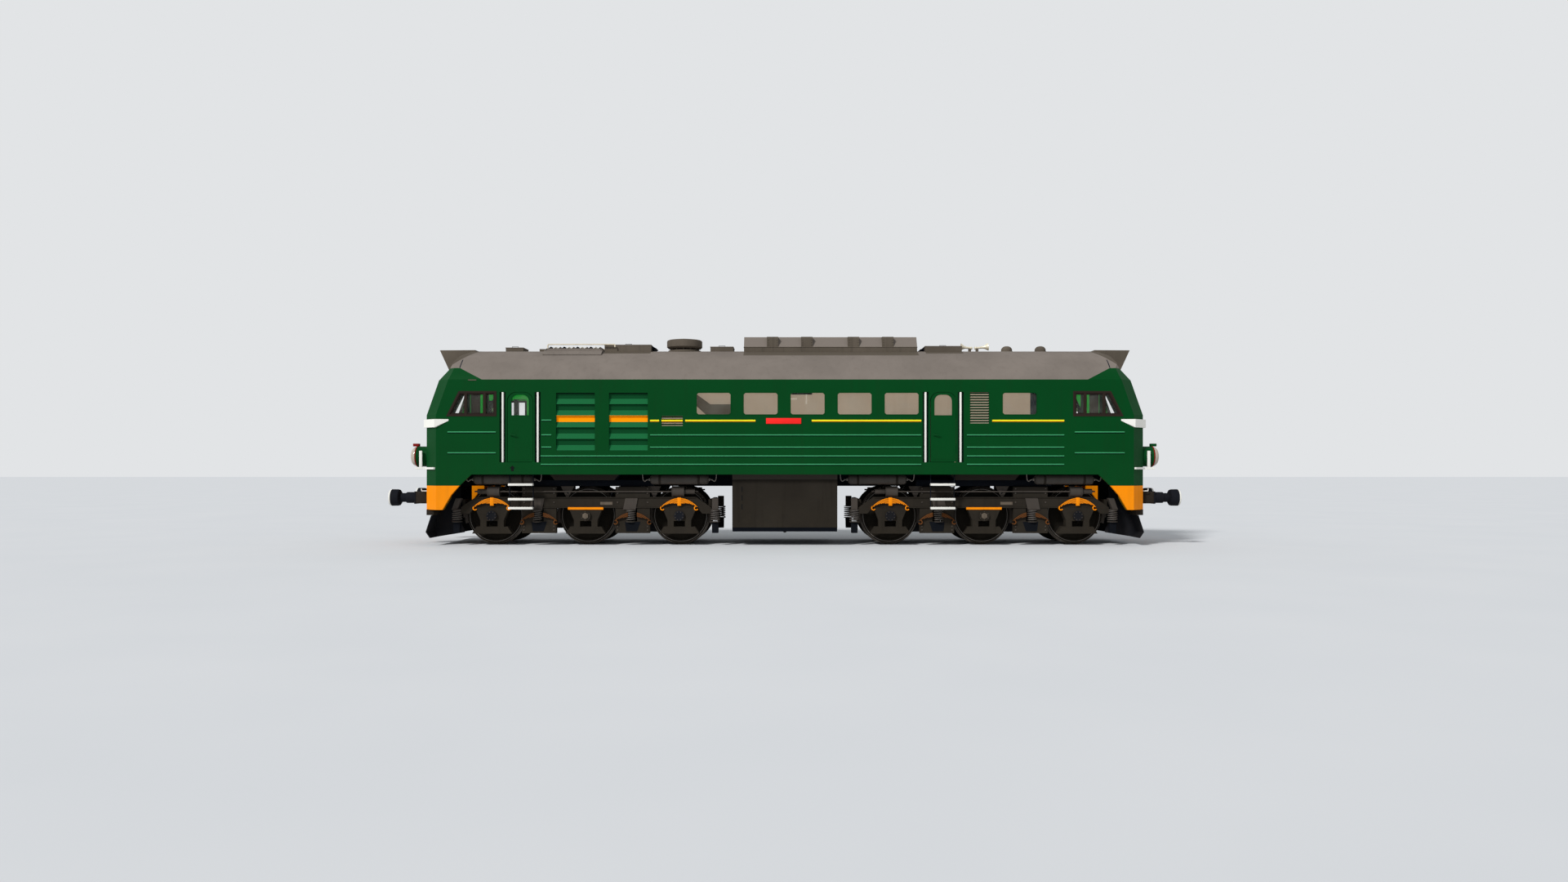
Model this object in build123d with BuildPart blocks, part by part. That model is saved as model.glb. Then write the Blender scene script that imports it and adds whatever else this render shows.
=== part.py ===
from build123d import *
from math import cos, radians, sin, sqrt
import os

os.makedirs("parts", exist_ok=True)

# Double-cab six-axle diesel locomotive. Millimetres. X runs along it, Y across it, Z up.
# Z = 0 is the bottom of the wheel flanges. Cab end a is at -X, cab end b at +X.

# Body shell
half_width = 1475
wall = 70
front_x = 7880
corner_x = 7580
corner_y = 1165
apron_bottom_z = 795
apron_top_z = 1321
sill_z = 1566
brow_z = 3895
eave_z = 3630
crown_z = 4385
crown_radius = 2100
crown_half = 850
brow_start_x = 6583
brow_end_x = 7110
# Front profile of the body: height, set back from the nose
front_profile = [
    (apron_bottom_z, 0),
    (2865, 0),
    (eave_z, 270),
    (brow_z, 520),
    (4200, 640),
    (4420, 900),
]
# Lower edge of the body sides towards the nose: x, z
skirt_edge = [
    (6812, sill_z),
    (7073, apron_top_z),
    (7250, 1122),
    (7443, apron_bottom_z),
]

# Openings in the side walls
window_width = 750
window_height = 481
window_mid_z = 3104
window_corner = 38
hall_window_first_x = -1546
hall_window_pitch = 1021
hall_window_count = 5
rear_window_x = 5102
cab_window_low_x = 7320
cab_window_high_x = 7070
cab_window_inner_x = 6286
cab_window_bottom_z = 2850
cab_window_top_z = 3353
frame_face = 50
frame_depth = 50
mullion_xs = (6525, 6935)
glass = 8
shutter_width = 840
shutter_bottom_z = 2080
shutter_top_z = 3339
shutter_xs = (-4548, -3398)
blade_count = 5
# Side grilles: middle x, middle z, width, height, slats
grille_table = [
    (-2447, 2727, 461, 214, 4),
    (4230, 3013, 408, 678, 12),
]

# Side doors: middle x
door_table = [
    ("cab", -5750),
    ("hall", 3440),
]
door_width = 570
door_bottom_z = 1832
door_top_z = 3357
door_corner = 200
door_leaf = 50
hinge_gap = 8
latch_gap = 14
door_head_gap = 8
door_glass_width = 394
door_glass_bottom_z = 2846
door_glass_top_z = 3304
door_glass_corner = 150
hinge_radius = 14
knuckle_height = 60
knuckle_gap = 0.3
rail_offset = 381
rail_recess_width = 130
rail_recess_depth = 50
rail_diameter = 50

# Windscreens, measured in the raked face
screen_half_gap = 60
screen_width = 930
screen_low = 60
screen_high = 690
screen_corner = 45

# Underframe
floor_z = 1800
deck = 40
sill_width = 80
centre_sill_y = 405
centre_sill_width = 50
bolster_bottom_z = 1440
bolster_top_length = 1520
bolster_low_length = 1300
bolster_half_width = 1300
girder_bottom_z = 1300
girder_setback = 1
headstock_x = 7700
headstock_half_width = 1150
headstock_bottom_z = 830
crossbeam_pitch = 1000
crossbeam_width = 60
crossbeam_drop = 160
seat_gap = 0.3

# Bogies and wheels
bogie_x = 4385
axle_pitch = 2062
tread_radius = 625
flange_height = 28
back_to_back = 1360
tyre_width = 140
flange_width = 34
axle_radius = 95
journal_radius = 65
journal_end_y = 1090
journal_clearance = 0.5
flange_radius = tread_radius + flange_height
axle_z = flange_radius
wheel_inner_y = back_to_back / 2
wheel_outer_y = wheel_inner_y + tyre_width
frame_inner_y = 1000
frame_outer_y = 1120
frame_top_z = 1066
frame_bottom_z = 826
frame_top_half = 2425
frame_end_half = 2757
frame_tip_z = 840
frame_end_z = 700
spring_pocket_half = 100
pedestal_block_half = 378
pedestal_block_bottom_z = 270
pedestal_block_top_z = 1290
transom_half = 300
transom_bottom_z = 850
end_beam_inner = 2695
end_beam_bottom_z = 855
end_beam_top_z = 1010
pivot_plate_radius = 350
pivot_plate_z = 1330
pivot_pin_radius = 100
pivot_pin_bottom_z = 1120
pivot_clearance = 0.5
bogie_box_top_z = 1110
bogie_box_half_width = 400

# Running gear hung on the bogie frames
axlebox_inner_y = 930
axlebox_outer_y = 1150
axlebox_cover_radius = 115
axlebox_cover_y = 1190
spring_radius = 90
spring_bottom_z = 527
spring_top_z = 786
end_spring_x = 2850
mid_spring_x = 1031
spring_block_top_z = 1040
spring_foot_bottom_z = 273
outer_leaf_z = 1046
mid_leaf_z = 735
leaf_half = 400
leaf_drop = 190
leaf_thick = 95
leaf_width = 55
brake_pipe_y = 1146
brake_pipe_radius = 14
shoe_gap = 8
shoe_thick = 62
shoe_half_angle = 15
shoe_width = 90
shoe_inner_y = 722
shoe_bar = 34
cylinder_radius = 120
cylinder_length = 270
motor_half_width = 560
motor_bottom_z = 270
motor_length = 850
motor_gap = 30
wheel_dish = 45

# Underslung gear
tank_half_length = 1150
tank_bottom_z = 310
tank_half_width = 1290
tank_chamfer = 100
reservoir_radius = 104
reservoir_y = 1190
# Air reservoirs: middle x, length
reservoir_table = [
    (-6176, 1317),
    (-2314, 1282),
    (2029, 1282),
    (6132, 1300),
]
step_width = 532
step_inner_y = 1312
step_tread = 50
step_tops_z = (1370, 1052, 856)
step_strap = 18

# Ends
buffer_y = 875
buffer_z = 1050
buffer_tip_x = 8775
buffer_head_radius = 185
buffer_head_back_x = 8540
buffer_barrel_radius = 122
buffer_box_x = 8206
buffer_box_half = 138
lamp_y = 880
lamp_z = 1963
lamp_radius = 236
lamp_drum_x = 8150
lamp_lens_x = 8300
lamp_dome_step = 75
guard_bar = 45
guard_reach = 220
guard_half_width = 300
guard_top_z = 1722
guard_upright = 370
hook_thick = 60
plough_half_width = 1220
plough_plate_y = 705
plough_plate = 30
plough_blade = 22
plough_top_x = 7768
plough_top_z = 667
plough_nose_x = 7888
plough_fold_z = 300
plough_toe_x = 7800
plough_toe_z = 169

# Roof
fan_x = -4760
fan_opening_radius = 600
fan_rotor_radius = 520
fan_z = 4080
fan_hub_radius = 110
fan_hub_height = 100
fan_shaft_radius = 45
fan_shaft_gap = 0.3
fan_blade_count = 6
fan_blade_width = 170
fan_blade_angle = 28
fan_beam = 90
fan_beam_top_z = 3960
saddle_half_length = 670
saddle_half_width = 800
saddle_rise = 75
louvre_count = 7
headlight_half_width = 350
headlight_radius = 130
louvre_z = 4308
silencer_x = 1037
silencer_half_length = 1962
silencer_half_width = 460
silencer_step_z = 4448
silencer_top_z = 4690
silencer_post_xs = (-277, 500, 1555, 2333)
silencer_post_width = 259
roof_bed_z = 4050
# Roof hatches: middle x, length, half width, top
hatch_table = [
    (-6175, 400, 250, 4455),
    (-5520, 165, 250, 4425),
    (-3560, 1055, 430, 4500),
    (-1436, 520, 300, 4470),
    (3600, 833, 430, 4470),
]
vent_x = -2309
vent_radius = 405
vent_low_z = 4474
vent_top_z = 4687
vent_stem_radius = 132
# Roof domes: x, radius
dome_table = [
    (5118, 126),
    (5893, 126),
]
dome_top_z = 4515
dome_rise = 75
# Horns: back end x, mouth x
horn_table = [
    (4375, 4693),
    (4325, 4060),
]
horn_z = 4470
horn_mouth_radius = 85
horn_tube_radius = 24

# Inside
bulkhead_xs = (-5330, -2800, 6060)
bulkhead_thick = 40
bulkhead_door_width = 600
bulkhead_door_height = 1800
desk_back_x = 7150
desk_top_z = 2680
desk_half_width = 1300
seat_x = 6600
seat_y = 720
seat_width = 480
seat_top_z = 2280
seat_back_z = 2850
engine_x = 1675
engine_half_length = 4125
engine_half_width = 720
engine_top_z = 3480

hinge_y = half_width - wall - hinge_radius
hinge_zs = (door_bottom_z + 250, door_top_z - 500)
crown_centre_z = crown_z - crown_radius
crown_edge_z = crown_centre_z + sqrt(crown_radius**2 - crown_half**2)


# Cross section of the body: straight sides, rounded shoulders and a flatter crown
def arch_outline(inset, low_z):
    with BuildSketch() as section:
        with BuildLine():
            crown = ThreePointArc((-crown_half, crown_edge_z), (0, crown_z), (crown_half, crown_edge_z))
            right = TangentArc(crown @ 1, (half_width, eave_z), tangent=crown % 1)
            left = TangentArc(crown @ 0, (-half_width, eave_z), tangent=(crown % 0) * -1)
            Polyline(left @ 1, (-half_width, low_z), (half_width, low_z), right @ 1)
        make_face()
        if inset:
            offset(amount=-inset, kind=Kind.INTERSECTION, mode=Mode.REPLACE)
    return section.sketch


# Solid form of the body's +X half, pushed in by inset on every outer side
def body_form(inset, low_z):
    with BuildPart() as form:
        for (z_low, back_low), (z_high, back_high) in zip(front_profile, front_profile[1:]):
            start_z = low_z if z_low == apron_bottom_z else z_low
            with BuildSketch(Plane((-back_low, 0, start_z))) as plan:
                with BuildLine():
                    Polyline(
                        (-2000, -half_width),
                        (corner_x, -half_width),
                        (front_x, -corner_y),
                        (front_x, corner_y),
                        (corner_x, half_width),
                        (-2000, half_width),
                        close=True,
                    )
                make_face()
                if inset:
                    offset(amount=-inset, kind=Kind.INTERSECTION, mode=Mode.REPLACE)
            rise = Vector(back_low - back_high, 0, z_high - start_z)
            extrude(amount=rise.length, dir=rise.normalized())
        with BuildSketch(Plane.YZ):
            add(arch_outline(inset, low_z - 500))
        extrude(amount=front_x + 100, mode=Mode.INTERSECT)
    return form.part


# Side view region below the line where the roof paint and roof panel begin
def below_roof():
    with BuildSketch(Plane.XZ) as region:
        with BuildLine():
            Polyline(
                (0, 0),
                (0, eave_z - wall),
                (brow_start_x, eave_z - wall),
                (brow_start_x, eave_z),
                (brow_end_x, brow_z),
                (front_x + 500, brow_z),
                (front_x + 500, 0),
                close=True,
            )
        make_face()
    return extrude(region.sketch, amount=half_width + 200, both=True)


outer_form = body_form(0, apron_bottom_z)
inner_form = body_form(wall, apron_bottom_z - 100)
roof_split = below_roof()

# Slabs that the two side walls are cut from, between apron and eave
with BuildPart() as wall_slabs:
    for side in (-1, 1):
        with Locations((0, side * half_width, (apron_top_z + eave_z) / 2)):
            Box(3 * front_x, 2 * wall, eave_z - apron_top_z)

with BuildPart() as shell:
    add(outer_form)
    add(inner_form, mode=Mode.SUBTRACT)
    with BuildSketch(Plane.XZ) as belly:
        with BuildLine():
            Polyline(
                (0, 0),
                (0, sill_z),
                *skirt_edge,
                (skirt_edge[-1][0], 0),
                close=True,
            )
        make_face()
    extrude(amount=half_width + 100, both=True, mode=Mode.SUBTRACT)


# Door leaf or doorway outline with rounded upper corners, in the wall's plane
def doorway(x_low, x_high, z_low, z_high, corner):
    with BuildSketch() as outline:
        with BuildLine():
            FilletPolyline(
                (x_low, z_low),
                (x_low, z_high),
                (x_high, z_high),
                (x_high, z_low),
                radius=corner,
            )
            Line((x_high, z_low), (x_low, z_low))
        make_face()
    return outline.sketch


# Rectangle with its corners cut off, for panes and their openings
def cut_corner_pane(width, height, corner):
    with BuildSketch() as outline:
        Rectangle(width, height)
        chamfer(outline.vertices(), corner)
    return outline.sketch


# Cab side window outline, pulled in evenly
def cab_window(inset=0):
    with BuildSketch() as outline:
        with BuildLine():
            Polyline(
                (cab_window_low_x, cab_window_bottom_z),
                (cab_window_high_x, cab_window_top_z),
                (cab_window_inner_x, cab_window_top_z),
                (cab_window_inner_x, cab_window_bottom_z),
                close=True,
            )
        make_face()
        if inset:
            offset(amount=-inset, kind=Kind.INTERSECTION, mode=Mode.REPLACE)
    return outline.sketch


hall_window_xs = [hall_window_first_x + i * hall_window_pitch for i in range(hall_window_count)]
hall_window_xs.append(rear_window_x)
shutter_mid_z = (shutter_bottom_z + shutter_top_z) / 2
shutter_height = shutter_top_z - shutter_bottom_z

with BuildPart() as inner_body:
    add(inner_form)
    mirror(about=Plane.YZ)

# Right side wall, at -Y: the shell's side with every opening through it
with BuildPart() as side_wall_right:
    add(shell.part)
    with BuildSketch(Plane.XZ.offset(half_width - wall)):
        with Locations((0, (apron_top_z + eave_z) / 2)):
            Rectangle(2 * front_x, eave_z - apron_top_z)
    extrude(amount=wall, mode=Mode.INTERSECT)
    mirror(about=Plane.YZ)
    for door_name, door_x in door_table:
        hinge_x = door_x + door_width / 2 - hinge_gap
        for knuckle_z in hinge_zs:
            for low_z in (knuckle_z - knuckle_height - knuckle_gap, knuckle_z + knuckle_height + knuckle_gap):
                with Locations((hinge_x - hinge_radius, -hinge_y, low_z)):
                    Box(
                        hinge_gap + 40,
                        2 * hinge_radius,
                        knuckle_height,
                        align=(Align.MIN, Align.CENTER, Align.MIN),
                    )
    with BuildSketch(Plane.XZ.offset(half_width + 1)):
        for window_x in hall_window_xs:
            with Locations((window_x, window_mid_z)):
                add(cut_corner_pane(window_width, window_height, window_corner))
        for shutter_x in shutter_xs:
            with Locations((shutter_x, shutter_mid_z)):
                Rectangle(shutter_width, shutter_height)
        for grille_x, grille_z, grille_width, grille_height, slats in grille_table:
            with Locations((grille_x, grille_z)):
                Rectangle(grille_width, grille_height)
    extrude(amount=-(wall + 2), mode=Mode.SUBTRACT)
    with BuildSketch(Plane.XZ.offset(half_width + 1)):
        add(cab_window())
        mirror(about=Plane.YZ)
    extrude(amount=-(wall + 2), mode=Mode.SUBTRACT)
    for door_name, door_x in door_table:
        with BuildSketch(Plane.XZ.offset(half_width + 1)):
            add(doorway(door_x - door_width / 2, door_x + door_width / 2, door_bottom_z, door_top_z, door_corner))
        extrude(amount=-(wall + 2), mode=Mode.SUBTRACT)
        with BuildSketch(Plane.XZ.offset(half_width)):
            with Locations(
                (door_x - rail_offset, (door_bottom_z + door_top_z) / 2),
                (door_x + rail_offset, (door_bottom_z + door_top_z) / 2),
            ):
                Rectangle(rail_recess_width, door_top_z - door_bottom_z)
        extrude(amount=-rail_recess_depth, mode=Mode.SUBTRACT)
side_wall_right.part.label = "side_wall_right"
export_step(side_wall_right.part, "parts/side_wall_right.step")

with BuildPart() as side_wall_left:
    add(side_wall_right.part)
    mirror(about=Plane.XZ, mode=Mode.REPLACE)
side_wall_left.part.label = "side_wall_left"
export_step(side_wall_left.part, "parts/side_wall_left.step")

# Raked windscreen face of cab b: local x runs along -Y or Y, local y up the slope
rake_back = front_profile[2][1]
rake_rise = front_profile[2][0] - front_profile[1][0]
screen_mid_y = screen_half_gap + screen_width / 2
screen_mid_rise = (screen_low + screen_high) / 2
screen_pane_size = (screen_width - 2 * frame_face, screen_high - screen_low - 2 * frame_face)
rake_plane = Plane(
    origin=(front_x, 0, front_profile[1][0]),
    x_dir=(0, 1, 0),
    z_dir=Vector(rake_rise, 0, rake_back).normalized(),
)

with BuildPart() as cab_front_b:
    add(shell.part)
    add(roof_split, mode=Mode.INTERSECT)
    with BuildSketch(Plane.XY.offset(apron_top_z)):
        Rectangle(4 * front_x, 4 * half_width)
    extrude(amount=crown_z, mode=Mode.INTERSECT)
    add(wall_slabs.part, mode=Mode.SUBTRACT)
    with BuildSketch(rake_plane.offset(1)):
        with Locations((-screen_mid_y, screen_mid_rise), (screen_mid_y, screen_mid_rise)):
            add(cut_corner_pane(screen_width, screen_high - screen_low, screen_corner))
    extrude(amount=-(wall + 60), mode=Mode.SUBTRACT)
cab_front_b.part.label = "cab_front_b"
export_step(cab_front_b.part, "parts/cab_front_b.step")

with BuildPart() as cab_front_a:
    add(cab_front_b.part)
    mirror(about=Plane.YZ, mode=Mode.REPLACE)
cab_front_a.part.label = "cab_front_a"
export_step(cab_front_a.part, "parts/cab_front_a.step")

with BuildPart() as end_aprons:
    add(shell.part)
    with BuildSketch(Plane.XY.offset(apron_top_z)):
        Rectangle(4 * front_x, 4 * half_width)
    extrude(amount=-apron_top_z, mode=Mode.INTERSECT)
    mirror(about=Plane.YZ)
end_aprons.part.label = "end_aprons"
export_step(end_aprons.part, "parts/end_aprons.step")

# Roof with the round opening of the cooling fan
with BuildPart() as roof:
    add(shell.part)
    add(roof_split, mode=Mode.SUBTRACT)
    add(wall_slabs.part, mode=Mode.SUBTRACT)
    mirror(about=Plane.YZ)
    with BuildSketch(Plane.XY.offset(roof_bed_z)):
        with Locations((fan_x, 0)):
            Circle(fan_opening_radius)
    extrude(amount=600, mode=Mode.SUBTRACT)
roof.part.label = "roof"
export_step(roof.part, "parts/roof.step")

# Underframe: deck, side and centre sills and crossbeams
with BuildPart() as underframe:
    with BuildSketch(Plane.XY.offset(floor_z - deck)):
        Rectangle(2 * front_x, 2 * half_width)
    extrude(amount=deck)
    with BuildSketch(Plane.XY.offset(sill_z)):
        for side in (-1, 1):
            with Locations((0, side * (half_width - wall - sill_width / 2))):
                Rectangle(2 * (corner_x - wall), sill_width)
            with Locations((0, side * centre_sill_y)):
                Rectangle(2 * headstock_x, centre_sill_width)
    extrude(amount=floor_z - sill_z - deck / 2)
    beam_count = int((corner_x - wall) // crossbeam_pitch)
    with BuildSketch(Plane.XY.offset(floor_z - crossbeam_drop)):
        for i in range(-beam_count, beam_count + 1):
            with Locations((i * crossbeam_pitch, 0)):
                Rectangle(crossbeam_width, 2 * (half_width - wall - sill_width / 2))
    extrude(amount=crossbeam_drop - deck / 2)
    add(inner_body.part, mode=Mode.INTERSECT)
underframe.part.label = "underframe"
export_step(underframe.part, "parts/underframe.step")

# Bolsters across the sills, each over the pivot plate and pin of its bogie, and deep girders
# under the centre sills between tank, bolsters and headstock gussets
with BuildPart() as bolsters:
    for side in (-1, 1):
        with BuildSketch(Plane.XZ.offset(side * centre_sill_y)):
            for end in (-1, 1):
                inner_x = bogie_x - bolster_low_length / 2 - girder_setback
                outer_x = bogie_x + bolster_low_length / 2 + girder_setback
                slope = (bolster_top_length - bolster_low_length) / 2
                with BuildLine():
                    Polyline(
                        (end * tank_half_length, girder_bottom_z),
                        (end * tank_half_length, sill_z),
                        (end * (inner_x - slope), sill_z),
                        (end * inner_x, bolster_bottom_z),
                        (end * inner_x, girder_bottom_z),
                        close=True,
                    )
                make_face()
                with BuildLine():
                    Polyline(
                        (end * outer_x, girder_bottom_z),
                        (end * outer_x, bolster_bottom_z),
                        (end * (outer_x + slope), sill_z),
                        (end * (headstock_x - 705), sill_z),
                        (end * (headstock_x - 475), sill_z - 70),
                        (end * (headstock_x - 325), girder_bottom_z),
                        close=True,
                    )
                make_face()
        extrude(amount=centre_sill_width / 2, both=True)
    for end in (-1, 1):
        with BuildSketch(Plane.XZ.offset(-bolster_half_width)):
            with BuildLine():
                Polyline(
                    (end * bogie_x - bolster_top_length / 2, sill_z),
                    (end * bogie_x - bolster_low_length / 2, bolster_bottom_z),
                    (end * bogie_x + bolster_low_length / 2, bolster_bottom_z),
                    (end * bogie_x + bolster_top_length / 2, sill_z),
                    close=True,
                )
            make_face()
        extrude(amount=2 * bolster_half_width)
        with Locations((end * bogie_x, 0, pivot_plate_z)):
            Cylinder(
                pivot_plate_radius,
                bolster_bottom_z - seat_gap - pivot_plate_z,
                align=(Align.CENTER, Align.CENTER, Align.MIN),
            )
        with Locations((end * bogie_x, 0, pivot_pin_bottom_z + 20)):
            Cylinder(
                pivot_pin_radius,
                pivot_plate_z - pivot_pin_bottom_z,
                align=(Align.CENTER, Align.CENTER, Align.MIN),
            )
bolsters.part.label = "bolsters"
export_step(bolsters.part, "parts/bolsters.step")

# Headstocks behind the aprons, braced back to the centre sills
with BuildPart() as headstocks:
    with Locations((headstock_x, 0, headstock_bottom_z)):
        Box(
            front_x - wall - headstock_x,
            2 * headstock_half_width,
            floor_z - deck - headstock_bottom_z,
            align=(Align.MIN, Align.CENTER, Align.MIN),
        )
    for side in (-1, 1):
        with BuildSketch(Plane.XZ.offset(side * centre_sill_y)):
            with BuildLine():
                Polyline(
                    (headstock_x, headstock_bottom_z + 70),
                    (headstock_x, sill_z),
                    (headstock_x - 700, sill_z),
                    (headstock_x - 470, sill_z - 66),
                    close=True,
                )
            make_face()
        extrude(amount=centre_sill_width / 2, both=True)
    mirror(about=Plane.YZ)
    add(inner_body.part, mode=Mode.INTERSECT)
headstocks.part.label = "headstocks"
export_step(headstocks.part, "parts/headstocks.step")

# Bulkheads between the cabs, the cooling room and the engine room
bulkhead_low_z = floor_z
with BuildPart() as bulkheads:
    for bulkhead_x in bulkhead_xs:
        with BuildSketch(Plane.YZ.offset(bulkhead_x - bulkhead_thick / 2)):
            add(arch_outline(wall, bulkhead_low_z - wall))
            with Locations((0, bulkhead_low_z + bulkhead_door_height / 2)):
                Rectangle(bulkhead_door_width, bulkhead_door_height, mode=Mode.SUBTRACT)
        extrude(amount=bulkhead_thick)
    with BuildSketch(Plane.YZ.offset(bulkhead_xs[0])):
        with Locations((0, fan_beam_top_z - fan_beam / 2)):
            Rectangle(fan_beam, fan_beam)
    extrude(amount=bulkhead_xs[1] - bulkhead_xs[0])
bulkheads.part.label = "bulkheads"
export_step(bulkheads.part, "parts/bulkheads.step")

# Driver's desks, with a sloped top that follows the nose
with BuildPart() as cab_desks:
    with BuildSketch(Plane.XZ.offset(-desk_half_width)):
        with BuildLine():
            Polyline(
                (front_x - wall - 30, floor_z),
                (front_x - wall - 30, desk_top_z),
                (desk_back_x + 260, desk_top_z),
                (desk_back_x, desk_top_z - 160),
                (desk_back_x, desk_top_z - 260),
                (desk_back_x + 200, desk_top_z - 330),
                (desk_back_x + 200, floor_z),
                close=True,
            )
        make_face()
        mirror(about=Plane.YZ)
    extrude(amount=2 * desk_half_width)
    add(inner_body.part, mode=Mode.INTERSECT)
cab_desks.part.label = "cab_desks"
export_step(cab_desks.part, "parts/cab_desks.step")

# Driver's seats: pedestal, cushion and back
with BuildPart() as cab_seats:
    for end in (-1, 1):
        for side in (-1, 1):
            with Locations((end * seat_x, side * seat_y, floor_z)):
                Cylinder(70, seat_top_z - 120 - floor_z, align=(Align.CENTER, Align.CENTER, Align.MIN))
            with Locations((end * seat_x, side * seat_y, seat_top_z - 120)):
                Box(480, seat_width, 120, align=(Align.CENTER, Align.CENTER, Align.MIN))
            with Locations((end * (seat_x - 200), side * seat_y, seat_top_z)):
                Box(90, seat_width, seat_back_z - seat_top_z, align=(Align.CENTER, Align.CENTER, Align.MIN))
cab_seats.part.label = "cab_seats"
export_step(cab_seats.part, "parts/cab_seats.step")

# Engine and generator in their casing, as one plain block on the floor
with BuildPart() as engine:
    with Locations((engine_x, 0, floor_z)):
        Box(
            2 * engine_half_length,
            2 * engine_half_width,
            engine_top_z - floor_z,
            align=(Align.CENTER, Align.CENTER, Align.MIN),
        )
engine.part.label = "engine"
export_step(engine.part, "parts/engine.step")

# Side shutters over the radiators: wide blades that lean out towards their lower edge
blade_pitch = shutter_height / blade_count
with BuildPart() as side_shutters:
    for shutter_x in shutter_xs:
        with BuildSketch(Plane.YZ.offset(shutter_x - shutter_width / 2)):
            for i in range(blade_count):
                blade_z = shutter_bottom_z + i * blade_pitch
                with BuildLine():
                    Polyline(
                        (-(half_width - 12), blade_z),
                        (-(half_width - 12), blade_z + 10),
                        (-(half_width - 55), blade_z + blade_pitch * 0.5),
                        (-(half_width - 55), blade_z + blade_pitch - 8),
                        (-(half_width - 67), blade_z + blade_pitch - 8),
                        (-(half_width - 67), blade_z + blade_pitch * 0.5),
                        (-(half_width - 26), blade_z),
                        close=True,
                    )
                make_face()
        extrude(amount=shutter_width)
    mirror(about=Plane.XZ)
side_shutters.part.label = "side_shutters"
export_step(side_shutters.part, "parts/side_shutters.step")

# Small louvred grilles in both side walls
with BuildPart() as side_grilles:
    for grille_x, grille_z, grille_width, grille_height, slats in grille_table:
        slat_pitch = grille_height / slats
        with BuildSketch(Plane.YZ.offset(grille_x - grille_width / 2)):
            for i in range(slats):
                slat_z = grille_z - grille_height / 2 + i * slat_pitch
                with BuildLine():
                    Polyline(
                        (-(half_width - 8), slat_z + 4),
                        (-(half_width - 8), slat_z + 14),
                        (-(half_width - 48), slat_z + slat_pitch - 4),
                        (-(half_width - 48), slat_z + slat_pitch - 14),
                        close=True,
                    )
                make_face()
        extrude(amount=grille_width)
    mirror(about=Plane.XZ)
side_grilles.part.label = "side_grilles"
export_step(side_grilles.part, "parts/side_grilles.step")

# Cab side window frames with two mullions, and the windscreen frames
frame_low_y = half_width - (wall + frame_depth) / 2


with BuildPart() as window_frames:
    with BuildSketch(Plane.XZ.offset(frame_low_y)):
        add(cab_window())
        add(cab_window(frame_face), mode=Mode.SUBTRACT)
        for mullion_x in mullion_xs:
            with Locations((mullion_x, (cab_window_bottom_z + cab_window_top_z) / 2)):
                Rectangle(frame_face, cab_window_top_z - cab_window_bottom_z - frame_face)
    extrude(amount=frame_depth)
    with BuildSketch(rake_plane.offset(-wall)):
        with Locations((-screen_mid_y, screen_mid_rise), (screen_mid_y, screen_mid_rise)):
            add(cut_corner_pane(screen_width, screen_high - screen_low, screen_corner))
            add(cut_corner_pane(*screen_pane_size, screen_corner - frame_face / 2), mode=Mode.SUBTRACT)
    extrude(amount=frame_depth)
    mirror(about=Plane.XZ)
    mirror(about=Plane.YZ)
window_frames.part.label = "window_frames"
export_step(window_frames.part, "parts/window_frames.step")

# Window panes, at mid depth of their openings
pane_low_y = half_width - (wall + glass) / 2
with BuildPart() as window_glass:
    with BuildSketch(Plane.XZ.offset(pane_low_y)):
        add(cab_window(frame_face))
        for mullion_x in mullion_xs:
            with Locations((mullion_x, cab_window_bottom_z)):
                Rectangle(frame_face, cab_window_top_z, mode=Mode.SUBTRACT)
    extrude(amount=glass)
    with BuildSketch(rake_plane.offset(-wall + (frame_depth - glass) / 2)):
        with Locations((-screen_mid_y, screen_mid_rise), (screen_mid_y, screen_mid_rise)):
            add(cut_corner_pane(*screen_pane_size, screen_corner - frame_face / 2))
    extrude(amount=glass)
    mirror(about=Plane.XZ)
    mirror(about=Plane.YZ)
    for side in (-1, 1):
        with BuildSketch(Plane.XZ.offset(side * pane_low_y)):
            for window_x in hall_window_xs:
                with Locations((window_x, window_mid_z)):
                    add(cut_corner_pane(window_width, window_height, window_corner))
        extrude(amount=side * glass)
window_glass.part.label = "window_glass"
export_step(window_glass.part, "parts/window_glass.step")

# Roof pieces follow the roof's outer surface, so the body's outer form is cut from each
with BuildPart() as outer_body:
    add(outer_form)
    mirror(about=Plane.YZ)

# Headlight housings: a deep brow over the middle of each cab roof
with BuildPart() as headlight_housings:
    with BuildSketch(Plane.XZ.offset(-headlight_half_width)):
        with BuildLine():
            Polyline(
                (front_x - 32, crown_z),
                (front_x - 238, 3938),
                (front_x - 480, 3850),
                (6900, 4000),
                (7043, crown_z + 5),
                close=True,
            )
        make_face()
    extrude(amount=2 * headlight_half_width)
    with BuildSketch(Plane.YZ.offset(front_x)):
        with Locations((-150, 4225), (150, 4225)):
            Circle(headlight_radius)
    extrude(amount=-(32 + 223), mode=Mode.SUBTRACT)
    add(outer_body.part, mode=Mode.SUBTRACT)
    mirror(about=Plane.YZ)
headlight_housings.part.label = "headlight_housings"
export_step(headlight_housings.part, "parts/headlight_housings.step")

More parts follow.
